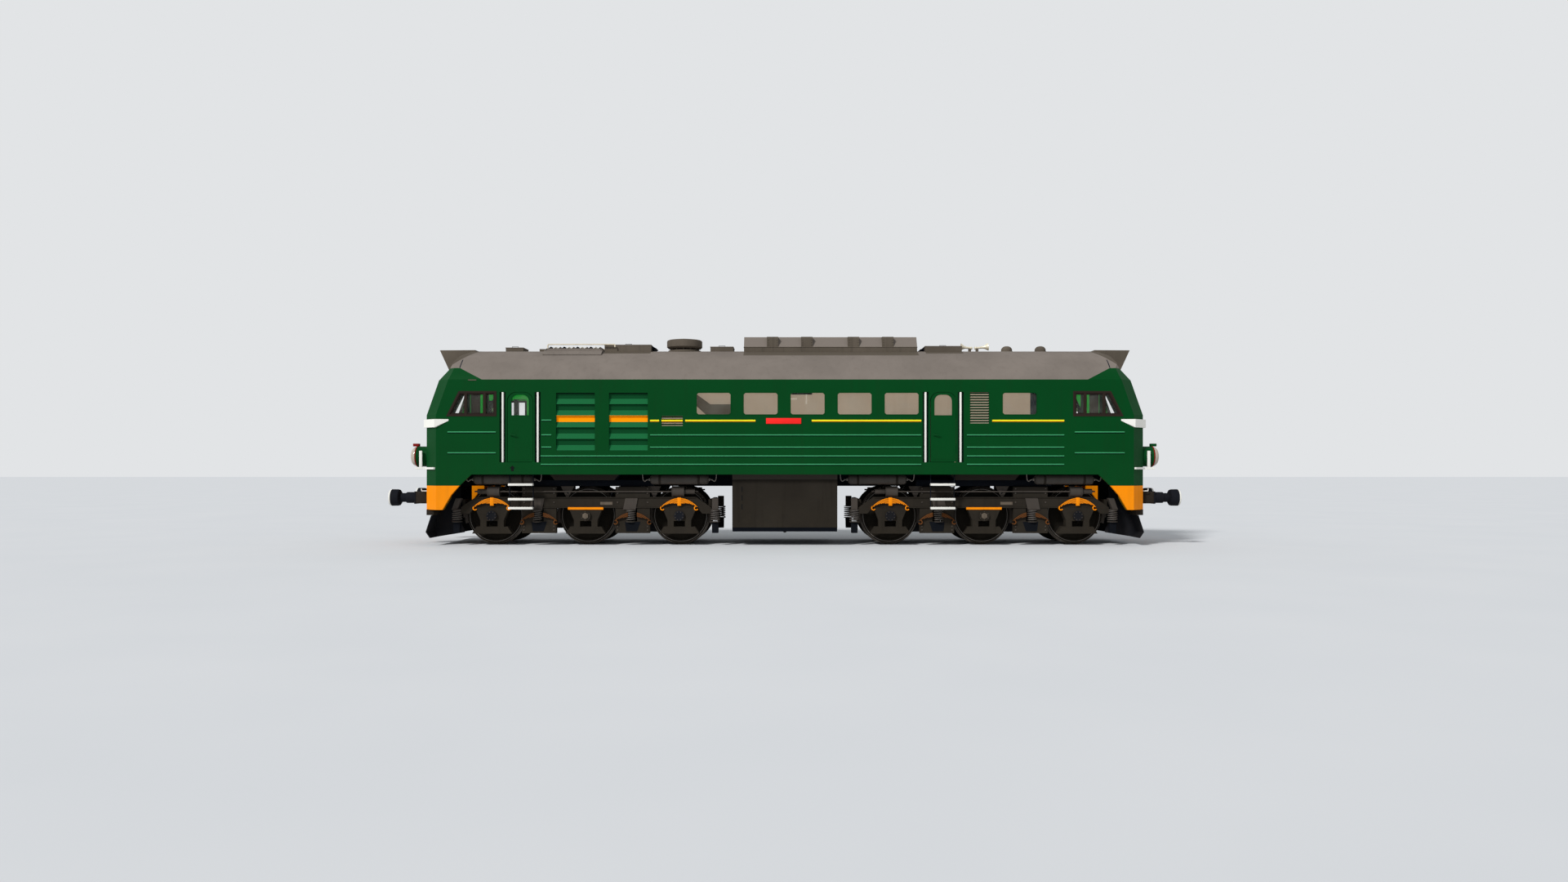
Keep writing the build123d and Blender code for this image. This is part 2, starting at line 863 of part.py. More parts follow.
# Nose lamps: drum on the nose with a domed lens
with BuildPart() as nose_lamps:
    with BuildSketch(Plane.XY.offset(lamp_z)):
        with BuildLine():
            Polyline(
                (lamp_drum_x, lamp_y - lamp_radius),
                (front_x, lamp_y - lamp_radius),
                (front_x, lamp_y),
                (lamp_lens_x, lamp_y),
                (lamp_lens_x, lamp_y - 0.35 * lamp_radius),
                (lamp_drum_x + lamp_dome_step, lamp_y - 0.8 * lamp_radius),
                close=True,
            )
        make_face()
    revolve(axis=Axis((front_x, lamp_y, lamp_z), (1, 0, 0)))
    mirror(about=Plane.XZ)
    mirror(about=Plane.YZ)
nose_lamps.part.label = "nose_lamps"
export_step(nose_lamps.part, "parts/nose_lamps.step")

# Exhaust silencer: stepped box with sloping upper sides and upright ribs
with BuildPart() as silencer:
    with BuildSketch(Plane.YZ.offset(silencer_x - silencer_half_length)):
        with BuildLine():
            Polyline(
                (-silencer_half_width, roof_bed_z),
                (-silencer_half_width, silencer_step_z),
                (-silencer_half_width + 160, silencer_top_z),
                (silencer_half_width - 160, silencer_top_z),
                (silencer_half_width, silencer_step_z),
                (silencer_half_width, roof_bed_z),
                close=True,
            )
        make_face()
    extrude(amount=2 * silencer_half_length)
    for post_x in silencer_post_xs:
        with Locations((post_x, 0, silencer_step_z - 10)):
            Box(
                silencer_post_width,
                2 * silencer_half_width,
                silencer_top_z - silencer_step_z,
                align=(Align.CENTER, Align.CENTER, Align.MIN),
            )
    add(outer_body.part, mode=Mode.SUBTRACT)
silencer.part.label = "silencer"
export_step(silencer.part, "parts/silencer.step")

with BuildPart() as roof_hatches:
    for hatch_x, hatch_length, hatch_half_width, hatch_top_z in hatch_table:
        with Locations((hatch_x, 0, roof_bed_z)):
            Box(
                hatch_length,
                2 * hatch_half_width,
                hatch_top_z - roof_bed_z,
                align=(Align.CENTER, Align.CENTER, Align.MIN),
            )
    add(outer_body.part, mode=Mode.SUBTRACT)
roof_hatches.part.label = "roof_hatches"
export_step(roof_hatches.part, "parts/roof_hatches.step")

# Mushroom ventilator and two small domes
with BuildPart() as roof_vents:
    with BuildSketch(Plane.XZ):
        with BuildLine():
            Polyline(
                (vent_x, roof_bed_z),
                (vent_x + vent_stem_radius, roof_bed_z),
                (vent_x + vent_stem_radius, vent_low_z + 20),
                (vent_x + vent_radius - 55, vent_low_z),
                (vent_x + vent_radius, vent_low_z + 45),
                (vent_x + vent_radius, vent_top_z - 25),
                (vent_x + vent_radius - 25, vent_top_z),
                (vent_x, vent_top_z),
                close=True,
            )
        make_face()
    revolve(axis=Axis((vent_x, 0, 0), (0, 0, 1)))
    for dome_x, dome_radius in dome_table:
        with BuildSketch(Plane.XZ):
            with BuildLine():
                Polyline(
                    (dome_x, dome_top_z),
                    (dome_x, roof_bed_z),
                    (dome_x + dome_radius, roof_bed_z),
                    (dome_x + dome_radius, dome_top_z - dome_rise),
                    (dome_x + 0.55 * dome_radius, dome_top_z),
                    close=True,
                )
            make_face()
        revolve(axis=Axis((dome_x, 0, 0), (0, 0, 1)))
    add(outer_body.part, mode=Mode.SUBTRACT)
roof_vents.part.label = "roof_vents"
export_step(roof_vents.part, "parts/roof_vents.step")

# Cooling fan's curb on the roof, with open slats over the fan
with BuildPart() as fan_louvres:
    with BuildSketch(Plane.YZ.offset(fan_x - saddle_half_length)):
        with BuildLine():
            rise = ThreePointArc(
                (-saddle_half_width, crown_centre_z + saddle_rise + sqrt(crown_radius**2 - saddle_half_width**2)),
                (0, crown_z + saddle_rise),
                (saddle_half_width, crown_centre_z + saddle_rise + sqrt(crown_radius**2 - saddle_half_width**2)),
            )
            Polyline(rise @ 1, (saddle_half_width, roof_bed_z), (-saddle_half_width, roof_bed_z), rise @ 0)
        make_face()
    extrude(amount=2 * saddle_half_length)
    with BuildSketch(Plane.XY.offset(roof_bed_z)):
        with Locations((fan_x, 0)):
            Rectangle(2 * fan_opening_radius, 2 * fan_opening_radius)
    extrude(amount=600, mode=Mode.SUBTRACT)
    louvre_pitch = 2 * fan_opening_radius / louvre_count
    with BuildSketch(Plane.XZ.offset(-fan_opening_radius)):
        for i in range(louvre_count):
            louvre_x = fan_x - fan_opening_radius + i * louvre_pitch
            with BuildLine():
                Polyline(
                    (louvre_x + 15, louvre_z),
                    (louvre_x + 15, louvre_z + 12),
                    (louvre_x + louvre_pitch - 25, louvre_z + 52),
                    (louvre_x + louvre_pitch - 25, louvre_z + 40),
                    close=True,
                )
            make_face()
    extrude(amount=2 * fan_opening_radius)
    add(outer_body.part, mode=Mode.SUBTRACT)
fan_louvres.part.label = "fan_louvres"
export_step(fan_louvres.part, "parts/fan_louvres.step")

# Roof cooling fan: hub, shaft and pitched blades
with BuildPart() as fan_rotor:
    with Locations((fan_x, 0, fan_z)):
        Cylinder(fan_hub_radius, fan_hub_height)
    shaft_low_z = fan_beam_top_z + fan_shaft_gap
    with Locations((fan_x, 0, shaft_low_z)):
        Cylinder(
            fan_shaft_radius,
            fan_z - shaft_low_z,
            align=(Align.CENTER, Align.CENTER, Align.MIN),
        )
    with Locations(Location((fan_x, 0, fan_z))):
        with PolarLocations(0, fan_blade_count):
            with Locations(Location((fan_hub_radius - 15, 0, 0), (fan_blade_angle, 0, 0))):
                Box(
                    fan_rotor_radius - fan_hub_radius,
                    fan_blade_width,
                    8,
                    align=(Align.MIN, Align.CENTER, Align.CENTER),
                )
fan_rotor.part.label = "fan_rotor"
export_step(fan_rotor.part, "parts/fan_rotor.step")

# Two trumpet horns lying on the roof, mouths outwards
with BuildPart() as horns:
    for horn_x, mouth_x in horn_table:
        reach = mouth_x - horn_x
        with BuildSketch(Plane.XZ):
            with BuildLine():
                Polyline(
                    (horn_x, horn_z),
                    (horn_x, horn_z + horn_tube_radius),
                    (horn_x + 0.7 * reach, horn_z + 1.3 * horn_tube_radius),
                    (mouth_x, horn_z + horn_mouth_radius),
                    (mouth_x, horn_z),
                    close=True,
                )
            make_face()
        revolve(axis=Axis((horn_x, 0, horn_z), (1, 0, 0)))
        with BuildSketch(Plane.XY.offset(roof_bed_z)):
            with Locations((horn_x + 0.3 * reach, 0)):
                Rectangle(70, 50)
        extrude(amount=horn_z - roof_bed_z)
    add(outer_body.part, mode=Mode.SUBTRACT)
horns.part.label = "horns"
export_step(horns.part, "parts/horns.step")

# Fuel tank between the bogies, with chamfered lower edges and a flange under the sill
with BuildPart() as fuel_tank:
    with BuildSketch(Plane.YZ.offset(-tank_half_length)):
        with BuildLine():
            Polyline(
                (-tank_half_width, sill_z),
                (-tank_half_width, tank_bottom_z + tank_chamfer),
                (-tank_half_width + tank_chamfer, tank_bottom_z),
                (tank_half_width - tank_chamfer, tank_bottom_z),
                (tank_half_width, tank_bottom_z + tank_chamfer),
                (tank_half_width, sill_z),
                close=True,
            )
        make_face()
    extrude(amount=2 * tank_half_length)
fuel_tank.part.label = "fuel_tank"
export_step(fuel_tank.part, "parts/fuel_tank.step")

with BuildPart() as air_reservoirs:
    for reservoir_x, reservoir_length in reservoir_table:
        with Locations(
            (reservoir_x, -reservoir_y, sill_z - reservoir_radius),
            (reservoir_x, reservoir_y, sill_z - reservoir_radius),
        ):
            Cylinder(reservoir_radius, reservoir_length, rotation=(0, 90, 0))
        for band_x in (reservoir_x - reservoir_length / 3, reservoir_x + reservoir_length / 3):
            with Locations(
                (band_x, -reservoir_y, sill_z - reservoir_radius),
                (band_x, reservoir_y, sill_z - reservoir_radius),
            ):
                Box(
                    50,
                    reservoir_radius,
                    floor_z - deck - sill_z + reservoir_radius,
                    align=(Align.CENTER, Align.CENTER, Align.MIN),
                )
air_reservoirs.part.label = "air_reservoirs"
export_step(air_reservoirs.part, "parts/air_reservoirs.step")

# Steps below each side door: three treads between two hanging straps
with BuildPart() as steps:
    for door_name, door_x in door_table:
        for side in (-1, 1):
            for top_z in step_tops_z:
                with Locations((door_x, side * (step_inner_y + half_width) / 2, top_z)):
                    Box(
                        step_width,
                        half_width - step_inner_y,
                        step_tread,
                        align=(Align.CENTER, Align.CENTER, Align.MAX),
                    )
            strap_low_z = step_tops_z[-1] - step_tread
            for strap_x in (door_x - step_width / 2 + step_strap / 2, door_x + step_width / 2 - step_strap / 2):
                with Locations((strap_x, side * (step_inner_y + step_strap), strap_low_z)):
                    Box(
                        step_strap,
                        2 * step_strap,
                        sill_z - strap_low_z,
                        align=(Align.CENTER, Align.CENTER, Align.MIN),
                    )
steps.part.label = "steps"
export_step(steps.part, "parts/steps.step")

# Handrails in their recesses beside the doors, and the guards under the nose lamps
with BuildPart() as handrails:
    for door_name, door_x in door_table:
        for rail_x in (door_x - rail_offset, door_x + rail_offset):
            for side in (-1, 1):
                with Locations((rail_x, side * (half_width - rail_diameter / 2), door_bottom_z)):
                    Cylinder(
                        rail_diameter / 2 - 1,
                        door_top_z - door_bottom_z,
                        align=(Align.CENTER, Align.CENTER, Align.MIN),
                    )
    for end in (-1, 1):
        for side in (-1, 1):
            with BuildSketch(Plane.XY.offset(guard_top_z - guard_bar)):
                with Locations((end * (front_x + guard_reach / 2), side * lamp_y)):
                    Rectangle(guard_reach, 2 * guard_half_width)
                with Locations((end * (front_x + (guard_reach - guard_bar) / 2), side * lamp_y)):
                    Rectangle(guard_reach - guard_bar, 2 * (guard_half_width - guard_bar), mode=Mode.SUBTRACT)
            extrude(amount=guard_bar)
            with Locations((end * (front_x + guard_reach - 120), side * (lamp_y + guard_half_width), guard_top_z)):
                Box(
                    guard_bar,
                    guard_bar,
                    guard_upright,
                    align=(Align.CENTER, Align.MAX if side > 0 else Align.MIN, Align.MIN),
                )
handrails.part.label = "handrails"
export_step(handrails.part, "parts/handrails.step")

# Ploughs: a folded blade across each end, held by two side plates behind the headstock
with BuildPart() as ploughs:
    with BuildSketch(Plane.XZ.offset(-plough_half_width)):
        with BuildLine():
            Polyline(
                (plough_top_x, plough_top_z),
                (plough_nose_x, plough_fold_z),
                (plough_toe_x, plough_toe_z),
                (plough_toe_x - plough_blade, plough_toe_z),
                (plough_nose_x - plough_blade, plough_fold_z),
                (plough_top_x - plough_blade, plough_top_z),
                close=True,
            )
        make_face()
    extrude(amount=2 * plough_half_width)
    for side in (-1, 1):
        with BuildSketch(Plane.XZ.offset(side * plough_plate_y)):
            with BuildLine():
                Polyline(
                    (headstock_x, 1500),
                    (headstock_x, headstock_bottom_z),
                    (plough_top_x - 10, headstock_bottom_z),
                    (plough_top_x - 10, plough_top_z),
                    (plough_nose_x - 10, plough_fold_z),
                    (plough_toe_x - 10, plough_toe_z),
                    (7181, 267),
                    (7181, 330),
                    (7265, 500),
                    (7265, 1400),
                    (7400, 1500),
                    close=True,
                )
            make_face()
        extrude(amount=plough_plate / 2, both=True)
    mirror(about=Plane.YZ)
ploughs.part.label = "ploughs"
export_step(ploughs.part, "parts/ploughs.step")

# Side buffers: square housing, barrel and flared head
with BuildPart() as buffers:
    with BuildSketch(Plane.YZ.offset(front_x)):
        with Locations((buffer_y, buffer_z)):
            Rectangle(2 * buffer_box_half, 2 * buffer_box_half)
    extrude(amount=buffer_box_x - front_x)
    with BuildSketch(Plane.XY.offset(buffer_z)):
        with BuildLine():
            Polyline(
                (buffer_box_x, buffer_y),
                (buffer_box_x, buffer_y + buffer_barrel_radius),
                (buffer_head_back_x, buffer_y + buffer_barrel_radius),
                (buffer_head_back_x + 60, buffer_y + buffer_head_radius),
                (buffer_tip_x - 14, buffer_y + buffer_head_radius),
                (buffer_tip_x, buffer_y + 0.86 * buffer_head_radius),
                (buffer_tip_x, buffer_y),
                close=True,
            )
        make_face()
    revolve(axis=Axis((front_x, buffer_y, buffer_z), (1, 0, 0)))
    mirror(about=Plane.XZ)
    mirror(about=Plane.YZ)
buffers.part.label = "buffers"
export_step(buffers.part, "parts/buffers.step")

# Draw hooks: plate on the apron, shank and open hook
with BuildPart() as couplings:
    with BuildSketch(Plane.YZ.offset(front_x)):
        with Locations((0, buffer_z)):
            Rectangle(340, 300)
    extrude(amount=30)
    with BuildSketch(Plane.XZ.offset(-hook_thick / 2)):
        with BuildLine():
            Polyline(
                (front_x + 30, buffer_z - 45),
                (front_x + 30, buffer_z + 45),
                (front_x + 170, buffer_z + 45),
                (front_x + 170, buffer_z - 10),
                (front_x + 220, buffer_z - 30),
                (front_x + 250, buffer_z + 10),
                (front_x + 240, buffer_z + 95),
                (front_x + 300, buffer_z + 95),
                (front_x + 320, buffer_z),
                (front_x + 270, buffer_z - 90),
                (front_x + 190, buffer_z - 100),
                close=True,
            )
        make_face()
    extrude(amount=hook_thick)
    mirror(about=Plane.YZ)
couplings.part.label = "couplings"
export_step(couplings.part, "parts/couplings.step")

# Side doors, one leaf for each doorway, and the pane in each
for door_name, door_x in door_table:
    for side_name, side in (("right", -1), ("left", 1)):
        leaf_low_x = door_x - door_width / 2 + latch_gap
        hinge_x = door_x + door_width / 2 - hinge_gap
        with BuildPart() as door_leaf_part:
            with BuildSketch(Plane.XZ.offset(half_width - door_leaf)):
                add(
                    doorway(
                        leaf_low_x,
                        hinge_x,
                        door_bottom_z + door_head_gap,
                        door_top_z - door_head_gap,
                        door_corner - door_head_gap,
                    )
                )
                add(
                    doorway(
                        door_x - door_glass_width / 2,
                        door_x + door_glass_width / 2,
                        door_glass_bottom_z,
                        door_glass_top_z,
                        door_glass_corner,
                    ),
                    mode=Mode.SUBTRACT,
                )
            extrude(amount=door_leaf)
            for knuckle_z in hinge_zs:
                with Locations((hinge_x, -hinge_y, knuckle_z)):
                    Cylinder(hinge_radius, knuckle_height, align=(Align.CENTER, Align.CENTER, Align.MIN))
                with Locations((hinge_x, -hinge_y, knuckle_z)):
                    Box(
                        50,
                        half_width - door_leaf - hinge_y,
                        knuckle_height,
                        align=(Align.MAX, Align.MAX, Align.MIN),
                    )
            if side > 0:
                mirror(about=Plane.XZ, mode=Mode.REPLACE)
        door_leaf_part.part.label = f"door_{door_name}_{side_name}"
        export_step(door_leaf_part.part, f"parts/door_{door_name}_{side_name}.step")
        with BuildPart() as door_pane:
            with BuildSketch(Plane.XZ.offset(half_width - (door_leaf + glass) / 2)):
                add(
                    doorway(
                        door_x - door_glass_width / 2,
                        door_x + door_glass_width / 2,
                        door_glass_bottom_z,
                        door_glass_top_z,
                        door_glass_corner,
                    )
                )
            extrude(amount=glass)
            if side > 0:
                mirror(about=Plane.XZ, mode=Mode.REPLACE)
        door_pane.part.label = f"door_glass_{door_name}_{side_name}"
        export_step(door_pane.part, f"parts/door_glass_{door_name}_{side_name}.step")

# Bogies: everything below is placed from the bogie's middle
bogie_table = [("a", -bogie_x), ("b", bogie_x)]
axle_offsets = (-axle_pitch, 0, axle_pitch)

for bogie_name, bogie_mid_x in bogie_table:
    # Frame: two side plates, two transoms, end beams and the centre box with its pivot plate
    with BuildPart() as bogie_frame:
        with BuildSketch(Plane(origin=(bogie_mid_x, -frame_inner_y, 0), x_dir=(1, 0, 0), z_dir=(0, -1, 0))):
            with BuildLine():
                Polyline(
                    (-frame_top_half, frame_top_z),
                    (frame_top_half, frame_top_z),
                    (frame_end_half, frame_tip_z),
                    (frame_end_half, frame_end_z),
                    (frame_end_half - 190, frame_end_z),
                    (frame_end_half - 290, frame_bottom_z),
                    (-frame_end_half + 290, frame_bottom_z),
                    (-frame_end_half + 190, frame_end_z),
                    (-frame_end_half, frame_end_z),
                    (-frame_end_half, frame_tip_z),
                    close=True,
                )
            make_face()
            for block_x in (-mid_spring_x, mid_spring_x):
                with Locations((block_x, (pedestal_block_top_z + pedestal_block_bottom_z) / 2)):
                    Rectangle(2 * pedestal_block_half, pedestal_block_top_z - pedestal_block_bottom_z)
                with Locations((block_x, (spring_bottom_z + spring_block_top_z) / 2)):
                    Rectangle(
                        2 * spring_pocket_half,
                        spring_block_top_z - spring_bottom_z,
                        mode=Mode.SUBTRACT,
                    )
        extrude(amount=frame_outer_y - frame_inner_y)
        mirror(about=Plane.XZ)
        for cross_x in (-mid_spring_x, mid_spring_x):
            with Locations((bogie_mid_x + cross_x, 0, transom_bottom_z)):
                Box(
                    2 * transom_half,
                    2 * frame_inner_y,
                    frame_top_z - transom_bottom_z,
                    align=(Align.CENTER, Align.CENTER, Align.MIN),
                )
        for cross_x in (-1, 1):
            beam_x = cross_x * (end_beam_inner + frame_end_half) / 2
            with Locations((bogie_mid_x + beam_x, 0, end_beam_bottom_z)):
                Box(
                    frame_end_half - end_beam_inner,
                    2 * frame_inner_y,
                    end_beam_top_z - end_beam_bottom_z,
                    align=(Align.CENTER, Align.CENTER, Align.MIN),
                )
        with Locations((bogie_mid_x, 0, transom_bottom_z + 10)):
            Box(
                2 * (mid_spring_x - transom_half) + 20,
                2 * bogie_box_half_width,
                bogie_box_top_z - transom_bottom_z - 10,
                align=(Align.CENTER, Align.CENTER, Align.MIN),
            )
        with Locations((bogie_mid_x, 0, bogie_box_top_z)):
            Cylinder(
                pivot_plate_radius,
                pivot_plate_z - bogie_box_top_z,
                align=(Align.CENTER, Align.CENTER, Align.MIN),
            )
        with Locations((bogie_mid_x, 0, pivot_pin_bottom_z)):
            Cylinder(
                pivot_pin_radius + pivot_clearance,
                pivot_plate_z - pivot_pin_bottom_z,
                align=(Align.CENTER, Align.CENTER, Align.MIN),
                mode=Mode.SUBTRACT,
            )
    bogie_frame.part.label = f"bogie_frame_{bogie_name}"
    export_step(bogie_frame.part, f"parts/bogie_frame_{bogie_name}.step")

    # Axleboxes: tapered boxes under the frame, with the keeper below and a round cover
    with BuildPart() as axleboxes:
        for axle_offset in axle_offsets:
            axle_x = bogie_mid_x + axle_offset
            with BuildSketch(Plane(origin=(axle_x, -axlebox_inner_y, 0), x_dir=(1, 0, 0), z_dir=(0, -1, 0))):
                with BuildLine():
                    Polyline(
                        (-372, frame_bottom_z),
                        (372, frame_bottom_z),
                        (258, 555),
                        (258, 414),
                        (345, 414),
                        (440, 262),
                        (-440, 262),
                        (-345, 414),
                        (-258, 414),
                        (-258, 555),
                        close=True,
                    )
                make_face()
                with Locations((0, 477)):
                    Rectangle(250, 126, mode=Mode.SUBTRACT)
            extrude(amount=axlebox_outer_y - axlebox_inner_y)
            with BuildSketch(Plane(origin=(axle_x, -axlebox_outer_y, axle_z), x_dir=(1, 0, 0), z_dir=(0, -1, 0))):
                Circle(axlebox_cover_radius)
            extrude(amount=axlebox_cover_y - axlebox_outer_y)
            with BuildSketch(Plane(origin=(axle_x, -axlebox_inner_y, axle_z), x_dir=(1, 0, 0), z_dir=(0, -1, 0))):
                Circle(journal_radius + journal_clearance)
            extrude(amount=journal_end_y + 5 - axlebox_inner_y, mode=Mode.SUBTRACT)
        mirror(about=Plane.XZ)
    axleboxes.part.label = f"axleboxes_{bogie_name}"
    export_step(axleboxes.part, f"parts/axleboxes_{bogie_name}.step")

    # Springs: coil springs with their blocks and feet, and the leaf springs
    with BuildPart() as springs:
        for coil_x in (-end_spring_x, -mid_spring_x, mid_spring_x, end_spring_x):
            coil_y = (frame_inner_y + frame_outer_y) / 2
            with Locations((bogie_mid_x + coil_x, -coil_y, spring_bottom_z)):
                Cylinder(
                    spring_radius,
                    spring_top_z - spring_bottom_z,
                    align=(Align.CENTER, Align.CENTER, Align.MIN),
                )
            with Locations((bogie_mid_x + coil_x, -frame_inner_y, spring_top_z)):
                Box(
                    2 * (end_spring_x - frame_end_half),
                    frame_outer_y - frame_inner_y + 20,
                    spring_block_top_z - spring_top_z,
                    align=(Align.CENTER, Align.MAX, Align.MIN),
                )
            if abs(coil_x) == end_spring_x:
                with Locations((bogie_mid_x + coil_x, -coil_y, spring_foot_bottom_z)):
                    Box(
                        100,
                        frame_outer_y - frame_inner_y,
                        spring_bottom_z - spring_foot_bottom_z,
                        align=(Align.CENTER, Align.CENTER, Align.MIN),
                    )
        mirror(about=Plane.XZ)
    springs.part.label = f"springs_{bogie_name}"
    export_step(springs.part, f"parts/springs_{bogie_name}.step")

    # Leaf springs: stepped stacks, above the outer axles and between the wheels
    with BuildPart() as leaf_springs:
        for leaf_x, leaf_top_z, leaf_gap in (
            (-axle_pitch, outer_leaf_z, 0),
            (axle_pitch, outer_leaf_z, 0),
            (-mid_spring_x, mid_leaf_z, spring_radius + 10),
            (mid_spring_x, mid_leaf_z, spring_radius + 10),
        ):
            with BuildSketch(
                Plane(
                    origin=(bogie_mid_x + leaf_x, -frame_outer_y, leaf_top_z),
                    x_dir=(1, 0, 0),
                    z_dir=(0, -1, 0),
                )
            ):
                with BuildLine():
                    upper = ThreePointArc((-leaf_half, -leaf_drop), (0, 0), (leaf_half, -leaf_drop))
                    Polyline(
                        upper @ 1,
                        (leaf_half, -leaf_drop - 25),
                        (0.55 * leaf_half, -leaf_thick),
                        (0, -leaf_thick - 20),
                        (-0.55 * leaf_half, -leaf_thick),
                        (-leaf_half, -leaf_drop - 25),
                        upper @ 0,
                    )
                make_face()
                if leaf_gap:
                    Rectangle(2 * leaf_gap, 400, mode=Mode.SUBTRACT)
            extrude(amount=leaf_width)
        mirror(about=Plane.XZ)
    leaf_springs.part.label = f"leaf_springs_{bogie_name}"
    export_step(leaf_springs.part, f"parts/leaf_springs_{bogie_name}.step")

    # Brake gear: cylinders on the frame, pipe between them, and a shoe on both sides of every wheel
    with BuildPart() as brake_gear:
        drum_z = frame_top_z + cylinder_radius
        drum_y = (frame_inner_y + frame_outer_y) / 2
        for end in (-1, 1):
            with Locations((bogie_mid_x + end * (axle_pitch - 30), -drum_y, drum_z)):
                Cylinder(cylinder_radius, cylinder_length, rotation=(0, 90, 0))
            with Locations((bogie_mid_x + end * (axle_pitch - 30 + cylinder_length / 2 + 110), -drum_y, drum_z)):
                Cylinder(cylinder_radius / 2, 240, rotation=(0, 90, 0))
        with Locations((bogie_mid_x, -brake_pipe_y, drum_z)):
            Cylinder(
                brake_pipe_radius,
                2 * (axle_pitch - 30 - cylinder_length / 2 - seat_gap),
                rotation=(0, 90, 0),
            )
        for axle_offset in axle_offsets:
            for end in (-1, 1):
                with BuildSketch(
                    Plane(
                        origin=(bogie_mid_x + axle_offset, -shoe_inner_y, axle_z),
                        x_dir=(1, 0, 0),
                        z_dir=(0, -1, 0),
                    )
                ):
                    with BuildLine():
                        inner_r = tread_radius + shoe_gap
                        outer_r = inner_r + shoe_thick
                        c, s = cos(radians(shoe_half_angle)), sin(radians(shoe_half_angle))
                        rub = ThreePointArc(
                            (end * inner_r * c, -inner_r * s), (end * inner_r, 0), (end * inner_r * c, inner_r * s)
                        )
                        Polyline(
                            rub @ 1,
                            (end * (outer_r + 5) * c, outer_r * s),
                            (end * outer_r, 60),
                            (end * outer_r, -60),
                            (end * (outer_r + 5) * c, -outer_r * s),
                            rub @ 0,
                        )
                    make_face()
                extrude(amount=shoe_width)
                bar_x = axle_offset + end * (outer_r + shoe_bar / 2)
                if abs(bar_x) > axle_pitch:
                    with Locations((bogie_mid_x + bar_x, -shoe_inner_y, axle_z - 50)):
                        Box(
                            shoe_bar,
                            shoe_width,
                            end_beam_top_z - axle_z + 50,
                            align=(Align.CENTER, Align.MAX, Align.MIN),
                        )
                else:
                    with Locations((bogie_mid_x + bar_x, -shoe_inner_y, axle_z)):
                        Box(
                            shoe_bar,
                            frame_inner_y - shoe_inner_y,
                            80,
                            align=(Align.CENTER, Align.MAX, Align.CENTER),
                        )
        mirror(about=Plane.XZ)
    brake_gear.part.label = f"brake_gear_{bogie_name}"
    export_step(brake_gear.part, f"parts/brake_gear_{bogie_name}.step")

    # Traction motors, one beside each axle, hung under the transoms
    with BuildPart() as traction_motors:
        for motor_x in (-mid_spring_x - motor_gap - motor_length / 2, axle_radius + 40 + motor_length / 2,
                        mid_spring_x + motor_gap + motor_length / 2):
            with BuildSketch(
                Plane(
                    origin=(bogie_mid_x + motor_x, -motor_half_width, (motor_bottom_z + transom_bottom_z) / 2),
                    x_dir=(1, 0, 0),
                    z_dir=(0, -1, 0),
                )
            ) as motor_face:
                Rectangle(motor_length, transom_bottom_z - motor_bottom_z)
                chamfer(motor_face.vertices(), 110)
            extrude(amount=-2 * motor_half_width)
    traction_motors.part.label = f"traction_motors_{bogie_name}"
    export_step(traction_motors.part, f"parts/traction_motors_{bogie_name}.step")

    # Wheelsets: axle with two coned disc wheels and their journals
    for number, axle_offset in enumerate(axle_offsets, start=1):
        with BuildPart() as wheelset:
            with BuildSketch(Plane(origin=(bogie_mid_x + axle_offset, 0, axle_z), x_dir=(0, 1, 0), z_dir=(1, 0, 0))):
                with BuildLine():
                    Polyline(
                        (0, 0),
                        (0, axle_radius),
                        (wheel_inner_y, axle_radius),
                        (wheel_inner_y, flange_radius),
                        (wheel_inner_y + flange_width * 0.6, flange_radius),
                        (wheel_inner_y + flange_width, tread_radius),
                        (wheel_outer_y, tread_radius),
                        (wheel_outer_y - wheel_dish, journal_radius),
                        (journal_end_y, journal_radius),
                        (journal_end_y, 0),
                        close=True,
                    )
                make_face()
            revolve(axis=Axis((bogie_mid_x + axle_offset, 0, axle_z), (0, 1, 0)))
            mirror(about=Plane.XZ)
        wheelset.part.label = f"wheelset_{bogie_name}{number}"
        export_step(wheelset.part, f"parts/wheelset_{bogie_name}{number}.step")
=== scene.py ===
import bpy
from math import cos, hypot, pi, radians, sin
from mathutils import Matrix, Vector


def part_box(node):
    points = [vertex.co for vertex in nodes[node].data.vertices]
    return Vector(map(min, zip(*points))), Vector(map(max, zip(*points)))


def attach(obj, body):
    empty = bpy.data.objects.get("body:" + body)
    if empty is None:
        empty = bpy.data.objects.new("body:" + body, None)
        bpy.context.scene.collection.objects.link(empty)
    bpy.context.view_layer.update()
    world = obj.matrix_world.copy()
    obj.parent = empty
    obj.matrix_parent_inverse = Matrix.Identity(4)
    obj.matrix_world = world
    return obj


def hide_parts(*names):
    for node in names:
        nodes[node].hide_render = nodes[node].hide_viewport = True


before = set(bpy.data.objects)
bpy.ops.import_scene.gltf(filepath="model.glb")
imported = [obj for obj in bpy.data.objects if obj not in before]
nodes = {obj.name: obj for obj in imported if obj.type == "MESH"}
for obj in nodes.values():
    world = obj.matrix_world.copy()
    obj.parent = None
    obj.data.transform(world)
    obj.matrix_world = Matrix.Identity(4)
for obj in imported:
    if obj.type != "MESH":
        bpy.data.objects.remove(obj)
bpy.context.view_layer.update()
scene = bpy.context.scene

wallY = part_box("side_wall_left")[1].y          # outer face of the body sides
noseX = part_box("cab_front_b")[1].x             # flat of the nose
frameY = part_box("bogie_frame_a")[1].y          # outer face of the bogie side frames
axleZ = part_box("wheelset_a1")[1].z / 2
bogieX = 4.385
axlePitch = 2.062
springX = axlePitch / 2                        # middle springs, halfway between two axles
doorX = {"cab": -5.75, "hall": 3.44}
sides = (-1, 1)

